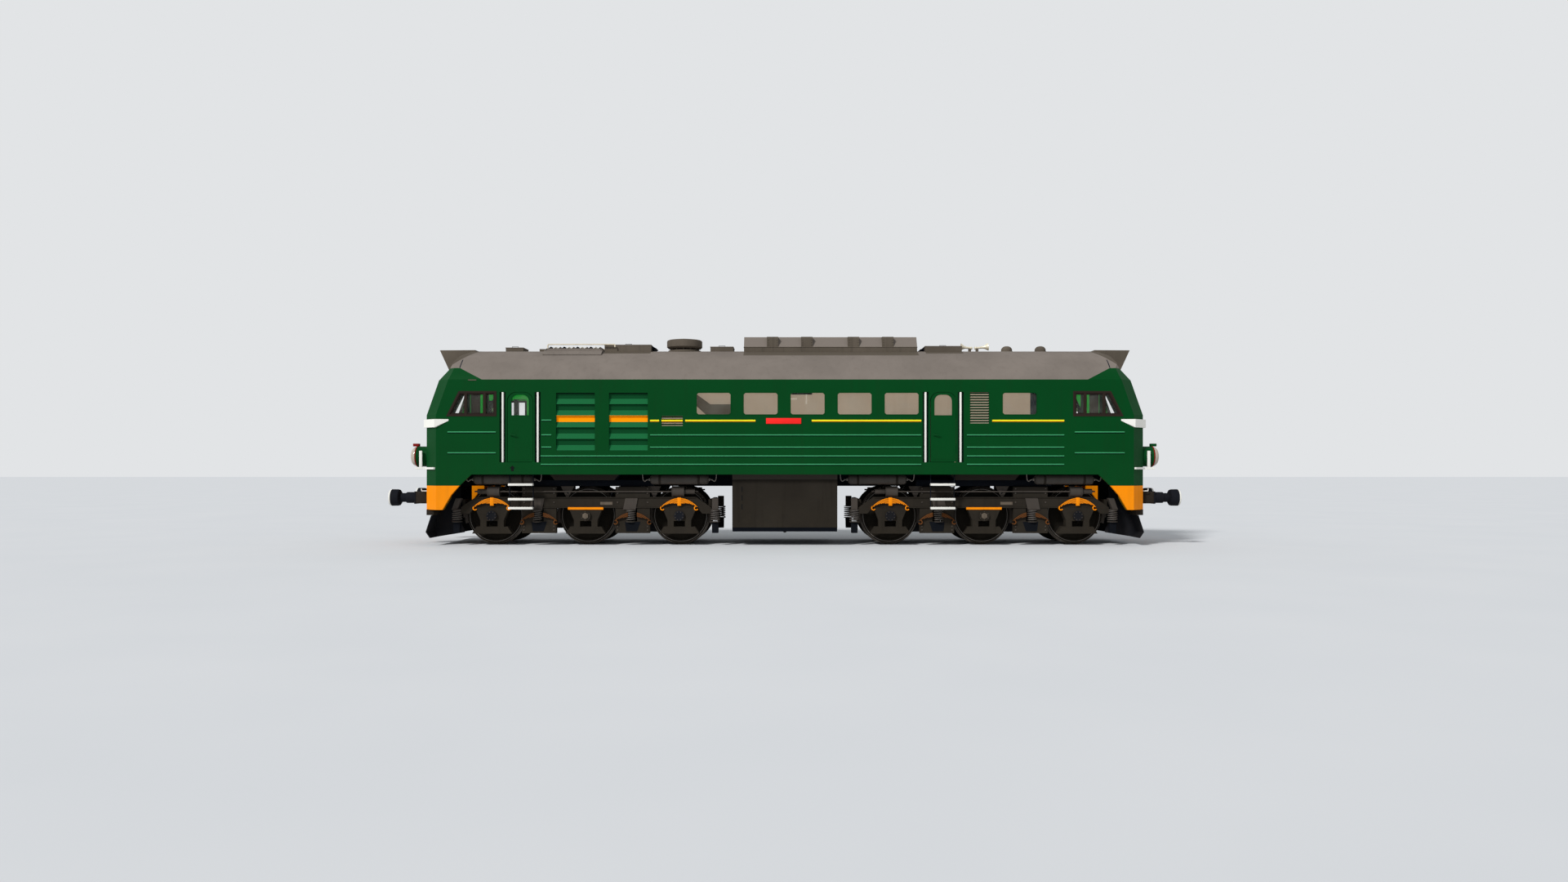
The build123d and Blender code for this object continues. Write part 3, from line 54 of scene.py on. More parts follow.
# A piece is modelled flat and then turned, so that its height goes along +X, +Y or -Y
alongX = Matrix(((0, 0, 1, 0), (1, 0, 0, 0), (0, 1, 0, 0), (0, 0, 0, 1)))
alongY = Matrix.Rotation(radians(-90), 4, "X")
upright = Matrix.Rotation(radians(90), 4, "X")
flipX = Matrix.Diagonal((-1, 1, 1, 1))
flipY = Matrix.Diagonal((1, -1, 1, 1))
tray = []                                      # new pieces lie here until they are joined


def at(x, y, z):
    return Matrix.Translation((x, y, z))


def facing(turn):
    # height along +X for 1 and along -X for -1
    return Matrix.Rotation(radians(90) * turn, 4, "Y")


def clearSelection():
    if bpy.context.object and bpy.context.object.mode != "OBJECT":
        bpy.ops.object.mode_set(mode="OBJECT")
    bpy.ops.object.select_all(action="DESELECT")


def editAll():
    bpy.ops.object.mode_set(mode="EDIT")
    bpy.ops.mesh.select_all(action="SELECT")


def coat(piece, *finishNames):
    piece.data.materials.clear()
    for name in finishNames:
        piece.data.materials.append(coats[name])
    return piece


def layDown(piece, name, finish):
    # named and painted, the piece goes on the tray
    piece.name = name
    tray.append(coat(piece, finish))
    return piece


def closeUp(piece, name, finish, turn=None):
    # normals outwards, out of edit mode, turned to its place
    bpy.ops.mesh.select_all(action="SELECT")
    bpy.ops.mesh.normals_make_consistent(inside=False)
    bpy.ops.object.mode_set(mode="OBJECT")
    if turn:
        piece.data.transform(turn)
    return layDown(piece, name, finish)


def turnPiece(name, finish, rings, segments=48, turn=None):
    # rings: place along the axis and radius, from one end to the other
    clearSelection()
    along, radius = rings[0]
    bpy.ops.mesh.primitive_circle_add(vertices=segments, radius=radius, fill_type="NGON")
    piece = bpy.context.object
    editAll()
    bpy.ops.transform.translate(value=(0, 0, along))
    for (lastAlong, lastRadius), (along, radius) in zip(rings, rings[1:]):
        grow = radius / lastRadius
        bpy.ops.mesh.extrude_region_move(TRANSFORM_OT_translate={"value": (0, 0, along - lastAlong)})
        bpy.ops.transform.resize(value=(grow, grow, 1), center_override=(0, 0, along))
    return closeUp(piece, name, finish, turn)


def flatShape(outline):
    # one face with these corners, in edit mode and selected
    clearSelection()
    bpy.ops.mesh.primitive_circle_add(vertices=len(outline), radius=1, fill_type="NGON")
    piece = bpy.context.object
    for vertex, (across, up) in zip(piece.data.vertices, outline):
        vertex.co = (across, up, 0)
    editAll()
    return piece


def plate(name, finish, outline, depth, bevel=0, turn=None):
    # a flat piece with this outline, pushed out by depth
    piece = flatShape(outline)
    bpy.ops.mesh.extrude_region_move(TRANSFORM_OT_translate={"value": (0, 0, depth)})
    if bevel:
        bpy.ops.mesh.select_all(action="SELECT")
        bpy.ops.mesh.normals_make_consistent(inside=False)
        bpy.ops.mesh.bevel(offset=bevel, segments=1, affect="EDGES")
    return closeUp(piece, name, finish, turn)


def sidePlate(name, finish, outline, depth, y, bevel=0, x=0):
    # a plate with its outline in x and z, pushed out from y towards the right side
    return plate(name, finish, outline, depth, bevel, at(x, y, 0) @ upright)


def ringPlate(name, finish, outline, band, depth, turn=None):
    # a flat ring: the outline is inset and its middle taken out
    piece = flatShape(outline)
    bpy.ops.mesh.inset(thickness=band)
    bpy.ops.mesh.delete(type="FACE")
    bpy.ops.mesh.select_all(action="SELECT")
    bpy.ops.mesh.extrude_region_move(TRANSFORM_OT_translate={"value": (0, 0, depth)})
    return closeUp(piece, name, finish, turn)


def block(name, finish, low, high, bevel=0.004, segments=2, turn=None):
    # a box between two corners with its edges rounded
    clearSelection()
    low, high = Vector(low), Vector(high)
    bpy.ops.mesh.primitive_cube_add(size=1)
    piece = bpy.context.object
    piece.data.transform(Matrix.Translation((low + high) / 2) @ Matrix.Diagonal((*(high - low), 1)))
    editAll()
    bpy.ops.mesh.bevel(offset=bevel, segments=segments, affect="EDGES")
    return closeUp(piece, name, finish, turn)


def blockAt(name, finish, middle, half, bevel=0.004, segments=2, turn=None):
    # the same box from its middle and half its size
    middle, half = Vector(middle), Vector(half)
    return block(name, finish, middle - half, middle + half, bevel, segments, turn)


def pipe(name, finish, points, radius, soft=True, segments=3):
    # a bent pipe: a path with round section, made a mesh
    clearSelection()
    path = bpy.data.curves.new(name, "CURVE")
    path.dimensions = "3D"
    path.bevel_depth = radius
    path.bevel_resolution = segments
    path.use_fill_caps = True
    path.resolution_u = 5
    run = path.splines.new("NURBS" if soft else "POLY")
    run.points.add(len(points) - 1)
    for point, place in zip(run.points, points):
        point.co = (*place, 1)
    if soft:
        run.order_u = 3
        run.use_endpoint_u = True
    piece = bpy.data.objects.new(name, path)
    scene.collection.objects.link(piece)
    piece.select_set(True)
    bpy.context.view_layer.objects.active = piece
    bpy.ops.object.convert(target="MESH")
    return layDown(bpy.context.object, name, finish)


def setAside(piece):
    # a pattern that is only copied from
    tray.remove(piece)
    return piece


def copyOf(source, matrix):
    twin = source.copy()
    twin.data = source.data.copy()
    twin.data.transform(matrix)
    if matrix.determinant() < 0:
        twin.data.flip_normals()
    scene.collection.objects.link(twin)
    return twin


def layCopy(source, matrix):
    tray.append(copyOf(source, matrix))


def removePieces(*pieces):
    for piece in pieces:
        bpy.data.objects.remove(piece, do_unlink=True)


def takeTray():
    pieces = tray[:]
    tray.clear()
    return pieces


def joinPieces(name, pieces):
    clearSelection()
    for piece in pieces:
        piece.select_set(True)
    bpy.context.view_layer.objects.active = pieces[0]
    if len(pieces) > 1:
        bpy.ops.object.join()
    pieces[0].name = name
    return pieces[0]


def onBothSides():
    # all on the tray as one piece, and its mirror image across the middle of the locomotive
    piece = joinPieces("right", takeTray())
    return [piece, copyOf(piece, flipY)]


def onAllCorners():
    pair = onBothSides()
    return pair + [copyOf(one, flipX) for one in pair]


def finishPiece(name, pieces, body="root", smooth=35):
    piece = joinPieces(name, pieces)
    bpy.ops.object.transform_apply(location=True, rotation=True, scale=True)
    if smooth:
        bpy.ops.object.shade_smooth_by_angle(angle=radians(smooth))
    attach(piece, body)
    return piece


def arcPoints(middle, radius, fromAngle, toAngle, count):
    # points of an arc, angles in degrees
    step = (toAngle - fromAngle) / (count - 1)
    angles = [radians(fromAngle + step * i) for i in range(count)]
    return [(middle[0] + radius * cos(a), middle[1] + radius * sin(a)) for a in angles]


def cutCorners(x, z, width, height, corner):
    w, h = width / 2, height / 2
    return [(x + w, z + h - corner), (x + w - corner, z + h), (x - w + corner, z + h),
            (x - w, z + h - corner), (x - w, z - h + corner), (x - w + corner, z - h),
            (x + w - corner, z - h), (x + w, z - h + corner)]


# Shader nodes

def paint(red, green, blue):
    # a colour as it is read off a screen, 0 to 255
    parts = [c / 255 for c in (red, green, blue)]
    return (*[c / 12.92 if c <= 0.04045 else ((c + 0.055) / 1.055) ** 2.4 for c in parts], 1)


bench = {"tree": None}          # the node tree that is being made


def feed(node, sockets):
    # each socket gets a link or a plain value
    for key, value in sockets.items():
        if isinstance(value, bpy.types.NodeSocket):
            node.id_data.links.new(value, node.inputs[key])
        else:
            node.inputs[key].default_value = value
    return node


def put(kind, sockets, **settings):
    # a new node in the tree that is being made, and what it gives out
    node = bench["tree"].nodes.new("ShaderNode" + kind)
    for key, value in settings.items():
        setattr(node, key, value)
    return feed(node, sockets).outputs


def mixColour(factor, first, second, blend="MIX"):
    return put("Mix", {0: factor, 6: first, 7: second}, data_type="RGBA", blend_type=blend)[2]


def sums(operation, first, second=0.0):
    return put("Math", {0: first, 1: second}, operation=operation)[0]


def both(first, second):
    return sums("MULTIPLY", first, second)


def either(first, second):
    return sums("MAXIMUM", first, second)


def above(value, limit):
    return sums("GREATER_THAN", value, limit)


def below(value, limit):
    return sums("LESS_THAN", value, limit)


def vectors(operation, first, second):
    return put("VectorMath", {0: first, 1: second}, operation=operation)


def axes(vector):
    return put("SeparateXYZ", {0: vector})


def away(vector, axis):
    # distance from the middle along x (0) or y (1)
    return sums("ABSOLUTE", axes(vector)[axis])


def noise(place, scale, detail):
    return put("TexNoise", {"Vector": place, "Scale": scale, "Detail": detail})[0]


def ramp(value, low, high, toLow=0.0, toHigh=1.0):
    return put("MapRange", {0: value, 1: low, 2: high, 3: toLow, 4: toHigh})[0]


def newGroup(name, inputs, outputs):
    # a socket's kind follows from its value: number, vector or colour
    tree = bench["tree"] = bpy.data.node_groups.new(name, "ShaderNodeTree")
    for direction, sockets in (("INPUT", inputs), ("OUTPUT", outputs)):
        for title, value in sockets.items():
            kind = "Float" if isinstance(value, float) else "Vector" if len(value) == 3 else "Color"
            socket = tree.interface.new_socket(title, in_out=direction, socket_type="NodeSocket" + kind)
            socket.default_value = value
    return tree, tree.nodes.new("NodeGroupInput").outputs, tree.nodes.new("NodeGroupOutput")


def newMaterial(name):
    material = bpy.data.materials.new(name)
    material.use_nodes = True
    bench["tree"] = material.node_tree
    return material, material.node_tree.nodes["Principled BSDF"]


black = (0, 0, 0, 1)
cabInside = paint(19, 143, 47)


def makeWeathering():
    # old paint: uneven tone, run marks down the sides, dust that thins out upwards, fine grain
    tree, given, result = newGroup("weathering", {
        "place": (0, 0, 0), "colour": black, "grime": paint(30, 27, 22),
        "dustColour": paint(110, 98, 80),
        "variation": 0.2, "streaks": 0.2, "dust": 0.2, "dustTop": 2.0, "roughness": 0.5, "grain": 90.0,
    }, {"colour": black, "roughness": 0.0, "height": 0.0})
    place, colour = given["place"], given["colour"]
    patches = noise(place, 1.3, 5.0)
    tone = both(ramp(patches, 0.35, 0.65), given["variation"])
    shade = mixColour(tone, colour, mixColour(1.0, colour, paint(150, 150, 150), "MULTIPLY"))
    drawn = vectors("MULTIPLY", place, (9.0, 9.0, 0.5))[0]
    runs = both(ramp(noise(drawn, 1.0, 4.0), 0.52, 0.72), given["streaks"])
    streaked = mixColour(runs, shade, given["grime"])
    low = ramp(axes(place)[2], given["dustTop"], 0.0)
    settled = both(both(low, noise(place, 5.0, 6.0)), given["dust"])
    rough = sums("ADD", given["roughness"], both(settled, 0.3))
    rough = sums("ADD", rough, both(sums("SUBTRACT", patches, 0.5), 0.25))
    feed(result, {"colour": mixColour(settled, streaked, given["dustColour"]), "roughness": rough,
                  "height": noise(place, given["grain"], 3.0)})
    return tree


def makeRoomMask():
    # 1 on faces that look into the body, with the colour of the room they close
    tree, given, result = newGroup("roomMask", {"place": (0, 0, 0), "facing": (0, 0, 0)},
                                   {"mask": 0.0, "colour": black})
    spot = axes(given["place"])
    midX = put("Clamp", {0: spot[0], 1: -6.3, 2: 6.3})[0]
    middle = put("CombineXYZ", {0: midX, 2: 2.6})[0]
    outwards = vectors("SUBTRACT", given["place"], middle)[0]
    turned = vectors("DOT_PRODUCT", outwards, given["facing"])["Value"]
    cabs = either(below(spot[0], -5.33), above(spot[0], 6.06))
    feed(result, {"mask": below(turned, -1.0),
                  "colour": mixColour(cabs, paint(155, 142, 125), cabInside)})
    return tree


def makeBandMask():
    # 1 inside a span along one direction, repeated at a pitch
    tree, given, result = newGroup(
        "bandMask", {"place": (0, 0, 0), "direction": (0, 0, 1), "start": 0.0, "width": 0.1,
                     "pitch": 100.0},
        {"mask": 0.0})
    along = vectors("DOT_PRODUCT", given["place"], given["direction"])["Value"]
    turns = sums("DIVIDE", sums("SUBTRACT", along, given["start"]), given["pitch"])
    rest = sums("SUBTRACT", turns, sums("FLOOR", turns))
    feed(result, {"mask": below(both(rest, given["pitch"]), given["width"])})
    return tree


weathering = makeWeathering()
roomMask = makeRoomMask()
bandMask = makeBandMask()


def band(place, start, width, pitch=100.0, direction=(0, 0, 1)):
    sockets = {"place": place, "direction": direction, "start": start, "width": width, "pitch": pitch}
    return put("Group", sockets, node_tree=bandMask)["mask"]


# Marks: each gets the place, the normal and the colour, and gives back the colour with its marks

def recessMarks(place, normal, shown):
    # faces set back from the body side, such as reveals and handrail pockets, are in deep shade
    depth = away(place, 1)
    setBack = both(below(depth, wallY - 0.0015), above(depth, 1.36))
    amidships = both(below(away(place, 0), 7.0), band(place, 1.6, 2.0))
    return mixColour(both(setBack, amidships), shown, paint(5, 38, 22))


def shutterMarks(place, normal, shown):
    # slanted halves of the blades get a painted highlight, one upright half carries the orange line, and a
    # dark band along the top is painted shadow of the recess
    outwards = away(normal, 1)
    slanted = both(below(outwards, 0.995), above(outwards, 0.7))
    slantHighlight = mixColour(slanted, shown, paint(16, 92, 50))
    line = both(band(place, 2.700, 0.148), sums("SUBTRACT", 1.0, slanted))
    lined = mixColour(line, slantHighlight, paint(255, 146, 0))
    return mixColour(band(place, 3.318, 0.03), lined, paint(5, 30, 20))


def grilleMarks(place, normal, shown):
    # the gaps between the slats show the pale engine room
    along = axes(place)[0]
    low = both(band(place, 2.62, 0.016, 0.0535), below(along, 0.0))
    high = both(band(place, 2.674, 0.019, 0.0565), above(along, 0.0))
    return mixColour(either(low, high), shown, paint(155, 146, 126))


def frameMarks(place, normal, shown):
    # frames of the engine room windows are body colour
    return mixColour(below(away(place, 0), 6.2), shown, paint(7, 56, 30))


def roofMarks(place, normal, shown):
    # dark taupe curbs round the silencer and the hatches and fairings at the ends, painted in the shaded
    # tone of upright faces; and a short seam behind them
    along, height = away(place, 0), axes(place)[2]
    curbs = above(sums("ADD", height, both(along, 0.937)), 10.82)
    for low, width, foot in ((-0.925, 3.924, 4.222), (-4.09, 1.06, 4.28), (3.18, 0.84, 4.28)):
        curb = both(above(height, foot), band(place, low, width, direction=(1, 0, 0)))
        curbs = either(curbs, curb)
    behindFairing = both(above(along, 7.106), below(along, 7.128))
    seam = both(behindFairing, band(place, 3.9, 0.2))
    return mixColour(seam, mixColour(curbs, shown, paint(90, 82, 72)), paint(18, 24, 36))


def bolsterMarks(place, normal, shown):
    # the bolsters' ends are brown; the girders behind them stay dark navy, painted shade
    return mixColour(above(away(place, 1), 1.29), shown, paint(45, 40, 35))


def silencerPaintedLight(place, normal, shown):
    # sloping panels get a painted highlight, lighter than the posts and the box below
    slope = both(above(axes(normal)[2], 0.2), band(place, 4.44, 1.0))
    return mixColour(slope, shown, paint(124, 115, 107))


def tankLightAndShade(place, normal, shown):
    # painted highlight on the strip under the body, painted shade at the foot
    top = mixColour(band(place, 1.445, 1.0), shown, paint(62, 58, 52))
    return mixColour(band(place, 0.0, 0.4), top, paint(16, 20, 28))


def bulkheadMarks(place, normal, shown):
    # faces towards the cabs are cab green
    along = axes(place)[0]
    return mixColour(either(below(along, -5.3495), above(along, 6.0795)), shown, cabInside)


# glow: a part that is no lamp gives out its own colour as painted light
plainLook = {"roughness": 0.55, "metallic": 0.0, "specular": 0.1, "bump": 0.06, "glow": 0.0,
             "rooms": False, "marks": None}
# painted light that the inner side walls of the rooms give out
paintedRoomLight = 0.55


def coatMaterial(name, colour, look):
    # look: what differs from the weathering's own values and from the plain look
    look = {**plainLook, **look}
    material, shader = newMaterial(name)
    spots = put("TexCoord", {})
    place, normal = spots["Object"], spots["Normal"]
    wear = {key: value for key, value in look.items() if key == "roughness" or key not in plainLook}
    worn = put("Group", {"place": place, "colour": colour, **wear}, node_tree=weathering)
    shown = worn["colour"]
    if look["marks"]:
        shown = look["marks"](place, normal, shown)
    if look["rooms"]:
        room = put("Group", {"place": place, "facing": normal}, node_tree=roomMask)
        shown = mixColour(room["mask"], shown, room["colour"])
        # the inner side walls give out the room colour: painted light
        across = axes(normal)[0]
        paintedLightWall = both(room["mask"], below(both(across, across), 0.5))
        feed(shader, {"Emission Color": mixColour(paintedLightWall, black, room["colour"]),
                      "Emission Strength": paintedRoomLight})
    # a part that is no lamp glows in its own colour: painted light
    elif look["glow"]:
        feed(shader, {"Emission Color": shown, "Emission Strength": look["glow"]})
    bump = put("Bump", {"Height": worn["height"], "Strength": look["bump"], "Distance": 0.004})
    feed(shader, {"Base Color": shown, "Roughness": worn["roughness"], "Metallic": look["metallic"],
                  "Specular IOR Level": look["specular"], "Normal": bump[0]})
    return material


def glassMaterial(name, colour, alpha):
    material, shader = newMaterial(name)
    smears = noise(put("TexCoord", {})["Object"], 3.0, 6.0)
    feed(shader, {"Alpha": ramp(smears, 0.45, 0.75, alpha, alpha + 0.05),
                  "Roughness": ramp(smears, 0.0, 1.0, 0.03, 0.16),
                  "Base Color": mixColour(smears, colour, paint(190, 190, 175))})
    return material


sideWear = {"variation": 0.1, "streaks": 0.08, "dust": 0.2, "dustTop": 2.3,
            "dustColour": paint(48, 64, 42), "specular": 0.05, "roughness": 0.5}
underWear = {"variation": 0.3, "streaks": 0.2, "dust": 0.22, "dustTop": 1.7,
             "dustColour": paint(84, 74, 58), "grime": paint(16, 14, 12), "specular": 0.05,
             "roughness": 0.75, "bump": 0.3, "grain": 60.0}
roofWear = {"variation": 0.2, "streaks": 0.12, "dust": 0.0, "roughness": 0.75, "bump": 0.12,
            "specular": 0.08}
plainWear = {"variation": 0.12, "streaks": 0.05, "dust": 0.0}
orangeWear = {"variation": 0.12, "streaks": 0.1, "dust": 0.2, "dustTop": 1.5,
              "grime": paint(150, 90, 20), "dustColour": paint(150, 105, 50)}
# each finish: its colour, its wear and what is its own
finishes = {
    "bodyGreen": ((2, 66, 26), sideWear, {"rooms": True}),
    "wallGreen": ((2, 66, 26), sideWear, {"rooms": True, "marks": recessMarks}),
    "plainGreen": ((2, 66, 26), sideWear, {}),
    # pale green: painted highlight along the tops of the ribs
    "ribHighlight": ((66, 158, 106), sideWear, {"dust": 0.1}),
    "ribShade": ((2, 30, 18), sideWear, {}),
    # the shutters glow a little: painted light that lifts their shade
    "shutterGreen": ((5, 62, 30), sideWear, {"glow": 0.2, "marks": shutterMarks}),
    "grilleGreen": ((7, 56, 30), sideWear, {"marks": grilleMarks}),
    "roofTaupe": ((128, 119, 111), roofWear, {"grime": paint(84, 76, 66), "rooms": True,
                                              "marks": roofMarks}),
    "curbTaupe": ((127, 118, 110), roofWear, {}),
    "gearTaupe": ((101, 92, 81), roofWear, {"variation": 0.3}),
    "silencerTaupe": ((99, 90, 79), roofWear, {"streaks": 0.25, "marks": silencerPaintedLight}),
    "deepBrown": ((43, 38, 33), underWear, {}),
    "tankBrown": ((42, 38, 33), underWear, {"streaks": 0.35, "marks": tankLightAndShade}),
    "bogieBrown": ((43, 39, 34), underWear, {}),
    "ironGrey": ((74, 68, 63), underWear, {"variation": 0.2, "dust": 0.15}),
    "paleIron": ((112, 106, 100), underWear,
                 {"variation": 0.25, "dust": 0.15, "specular": 0.3, "roughness": 0.5}),
    # dark iron in the bluish navy of shade: partly its own dark colour, partly painted shade
    "shadeNavyIron": ((19, 23, 31), underWear, {}),
    "wheelIron": ((27, 25, 22), underWear, {}),
    "bolsterShadeNavy": ((14, 19, 28), underWear, {"dust": 0.05, "marks": bolsterMarks}),
    "coilIron": ((84, 78, 73), underWear, {"dust": 0.1, "specular": 0.3, "roughness": 0.5}),
    "tankGrey": ((66, 61, 56), underWear, {"dust": 0.15, "specular": 0.2, "roughness": 0.5}),
    "shadowNavy": ((14, 18, 25), underWear, {"dust": 0.05}),
    "plateTan": ((108, 97, 85), underWear, {"dust": 0.1}),
    "rustLeaf": ((112, 68, 34), underWear, {"dust": 0.1}),
    "rustShade": ((74, 44, 24), underWear, {"dust": 0.1}),
    "orangeCoat": ((255, 146, 0), orangeWear, {}),
    # orange that glows: painted light on plates that sit in the body's shadow
    "orangePaintedLight": ((255, 146, 0), orangeWear, {"glow": 0.35}),
    "orangeShade": ((186, 102, 18), orangeWear, {}),
    "oliveShade": ((92, 72, 4), plainWear, {}),
    "yellowCoat": ((255, 246, 36), plainWear, {"glow": 0.12}),
    "stripeShade": ((196, 128, 16), plainWear, {}),
    "redCoat": ((255, 42, 38), plainWear, {}),
    "darkRed": ((128, 16, 12), plainWear, {}),
    "whiteCoat": ((240, 238, 230), plainWear, {"dust": 0.25, "dustTop": 1.5,
                                               "grime": paint(180, 172, 156),
                                               "dustColour": paint(186, 176, 158)}),
    "creamCoat": ((226, 214, 190), plainWear, {}),
    "frameBrown": ((44, 34, 31), plainWear, {"specular": 0.05, "marks": frameMarks}),
    "darkBrown": ((46, 36, 31), plainWear, {"specular": 0.05}),
    # hall tan, duct, hall pipes and cab green glow: painted light inside the body
    "hallTan": ((157, 143, 126), plainWear, {"glow": 0.66, "marks": bulkheadMarks}),
    "ductBrown": ((88, 80, 70), plainWear, {"glow": 0.3}),
    "hallPipe": ((222, 214, 200), plainWear, {"glow": 0.3}),
    "cabGreen": ((19, 143, 47), plainWear, {"glow": 0.25}),
    "lensGlass": ((184, 172, 158), plainWear, {"roughness": 0.12, "specular": 0.5, "bump": 0.0}),
    "hornBrass": ((236, 226, 200), plainWear, {"metallic": 0.25, "roughness": 0.35, "specular": 0.5}),
    "blackMark": ((8, 12, 11), plainWear, {}),
    "rubberGreen": ((3, 34, 20), plainWear, {}),
    "brownLeather": ((92, 56, 34), {}, {"variation": 0.3, "streaks": 0.0, "dust": 0.0, "roughness": 0.5,
                                        "bump": 0.6, "grain": 260.0, "specular": 0.3}),
    "treadSteel": ((92, 84, 76), {}, {"variation": 0.3, "streaks": 0.0, "dust": 0.1, "metallic": 0.2,
                                      "roughness": 0.4, "specular": 0.5, "bump": 0.1}),
}
coats = {name: coatMaterial(name, paint(*colour), {**wear, **own})
         for name, (colour, wear, own) in finishes.items()}
coats["windowGlass"] = glassMaterial("windowGlass", paint(120, 140, 135), 0.03)

# finish of each CAD node, by how its name starts
nodeFinishes = {
    "underframe": "deepBrown", "bolsters": "bolsterShadeNavy", "headstocks": "shadeNavyIron",
    "side_wall": "wallGreen", "cab_front": "bodyGreen", "end_aprons": "orangeCoat", "roof": "roofTaupe",
    "bulkheads": "hallTan", "cab_desks": "cabGreen", "cab_seats": "brownLeather", "engine": "hallTan",
    "window_glass": "windowGlass", "side_shutters": "shutterGreen", "side_grilles": "grilleGreen",
    "window_frames": "frameBrown", "headlight_housings": "gearTaupe", "nose_lamps": "plainGreen",
    "silencer": "silencerTaupe", "roof_hatches": "gearTaupe", "roof_vents": "gearTaupe",
    "fan_louvres": "curbTaupe", "horns": "hornBrass", "fuel_tank": "tankBrown",
    "air_reservoirs": "ironGrey", "steps": "whiteCoat", "handrails": "whiteCoat", "ploughs": "shadeNavyIron",
    "buffers": "ironGrey", "couplings": "ironGrey", "fan_rotor": "ironGrey", "door": "wallGreen",
    "door_glass": "windowGlass", "bogie_frame": "bogieBrown", "axleboxes": "bogieBrown",
    "springs": "ironGrey", "leaf_springs": "orangeCoat", "brake_gear": "ironGrey",
    "wheelset": "shadeNavyIron", "traction_motors": "shadeNavyIron",
}
for name, node in nodes.items():
    start = max([start for start in nodeFinishes if name.startswith(start)], key=len)
    material = coats[nodeFinishes[start]]
    if node.material_slots:
        for holder in node.material_slots:
            holder.material = material
    else:
        node.data.materials.append(material)
print("materials")


# Driver's seats: the cushions are swollen as cloth, then their channels are drawn in
seat = {"x": 6.6, "y": 0.72, "voxel": 0.013, "swell": 0.012, "pressure": 4.0, "steps": 20,
        "channelDepth": 0.011, "channelHalf": 0.02}


def softPad(name, size, channels):
    pad = setAside(blockAt(name, "brownLeather", (0, 0, 0), Vector(size) / 2, 0.024, 3))
    skin = pad.modifiers.new("skin", "REMESH")
    skin.mode = "VOXEL"
    skin.voxel_size = seat["voxel"]
    bpy.ops.object.modifier_apply(modifier="skin")
    home = [vertex.co.copy() for vertex in pad.data.vertices]
    stuffing = pad.modifiers.new("stuffing", "CLOTH")
    stuffing.settings.use_pressure = True
    stuffing.settings.uniform_pressure_force = seat["pressure"]
    stuffing.settings.effector_weights.gravity = 0
    for step in range(1, seat["steps"] + 1):
        scene.frame_set(step)
    bpy.ops.object.modifier_apply(modifier="stuffing")
    scene.frame_set(1)
    for vertex, start in zip(pad.data.vertices, home):
        moved = vertex.co - start
        if moved.length > seat["swell"]:
            vertex.co = start + moved.normalized() * seat["swell"]
    for vertex in pad.data.vertices:
        for across in channels:
            pull = seat["channelDepth"] * max(0, 1 - abs(vertex.co.x - across) / seat["channelHalf"])
            vertex.co.z -= pull if vertex.co.z > 0 else 0
    rounding = pad.modifiers.new("rounding", "SUBSURF")
    rounding.levels = rounding.render_levels = 1
    bpy.ops.object.modifier_apply(modifier="rounding")
    return pad


cushion = softPad("seatCushion", (0.40, 0.42, 0.085), (-0.08, 0.0, 0.08))
backrest = softPad("seatBack", (0.44, 0.42, 0.075), (-0.12, 0.0, 0.12))
backrest.data.transform(facing(1))
turnPiece("seatPost", "shadeNavyIron", [(1.80, 0.15), (1.815, 0.15), (1.83, 0.075), (1.95, 0.07),
                                   (1.96, 0.05), (2.16, 0.05)], 24)
block("seatPan", "darkBrown", (-0.235, -0.235, 2.16), (0.235, 0.235, 2.188), 0.01)
block("seatShell", "darkBrown", (-0.242, -0.225, 2.19), (-0.212, 0.225, 2.845), 0.012)
seatStand = joinPieces("seatStand", takeTray())
for end, x, turn in (("a", -seat["x"], pi), ("b", seat["x"], 0)):
    for hand, y in (("right", -seat["y"]), ("left", seat["y"])):
        place = at(x, y, 0) @ Matrix.Rotation(turn, 4, "Z")
        layCopy(seatStand, place)
        for pattern, spot, fill in ((cushion, (0.035, 0, 2.232), 0.6),
                                    (backrest, (-0.165, 0, 2.56), 0.5)):
            pad = copyOf(pattern, place @ at(*spot))
            pad = finishPiece(f"{pattern.name}_{end}_{hand}", [pad], smooth=0)
            pad.data.shade_smooth()
            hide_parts("cab_seats")
removePieces(cushion, backrest, seatStand)
seatFrames = finishPiece("seat_frames", takeTray())
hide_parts("cab_seats")
print("seats")


# Wheels: one wheelset is turned, then copied to the six axles
wheel = {"segments": 80, "flange": axleZ, "back": 0.680, "face": 0.820, "highlightRing": (0.574, 0.586),
         "highlightDepth": 0.8195, "tread": 0.612, "treadDepth": (0.7, 0.819)}
back, face = wheel["back"], wheel["face"]
halfRings = [
    (0.0, 0.095), (0.60, 0.095), (0.615, 0.125), (0.668, 0.13), (back, 0.2), (back, 0.638),
    (back + 0.004, 0.648), (0.692, wheel["flange"]), (0.702, 0.650), (0.711, 0.637), (0.72, 0.6285),
    (0.74, 0.6252), (0.812, 0.621), (face, 0.612), (face, 0.587), (face, 0.573), (0.808, 0.566),
    (0.800, 0.540), (0.776, 0.515), (0.768, 0.43), (0.766, 0.29), (0.778, 0.215), (0.812, 0.19),
    (face, 0.18), (face, 0.09), (0.826, 0.066), (1.084, 0.0645), (1.09, 0.055),
]
wheelRings = [(-along, radius) for along, radius in reversed(halfRings[1:])] + halfRings
wheelPattern = setAside(turnPiece("wheelPattern", "wheelIron", wheelRings, wheel["segments"], alongY))
coat(wheelPattern, "wheelIron", "paleIron", "treadSteel")
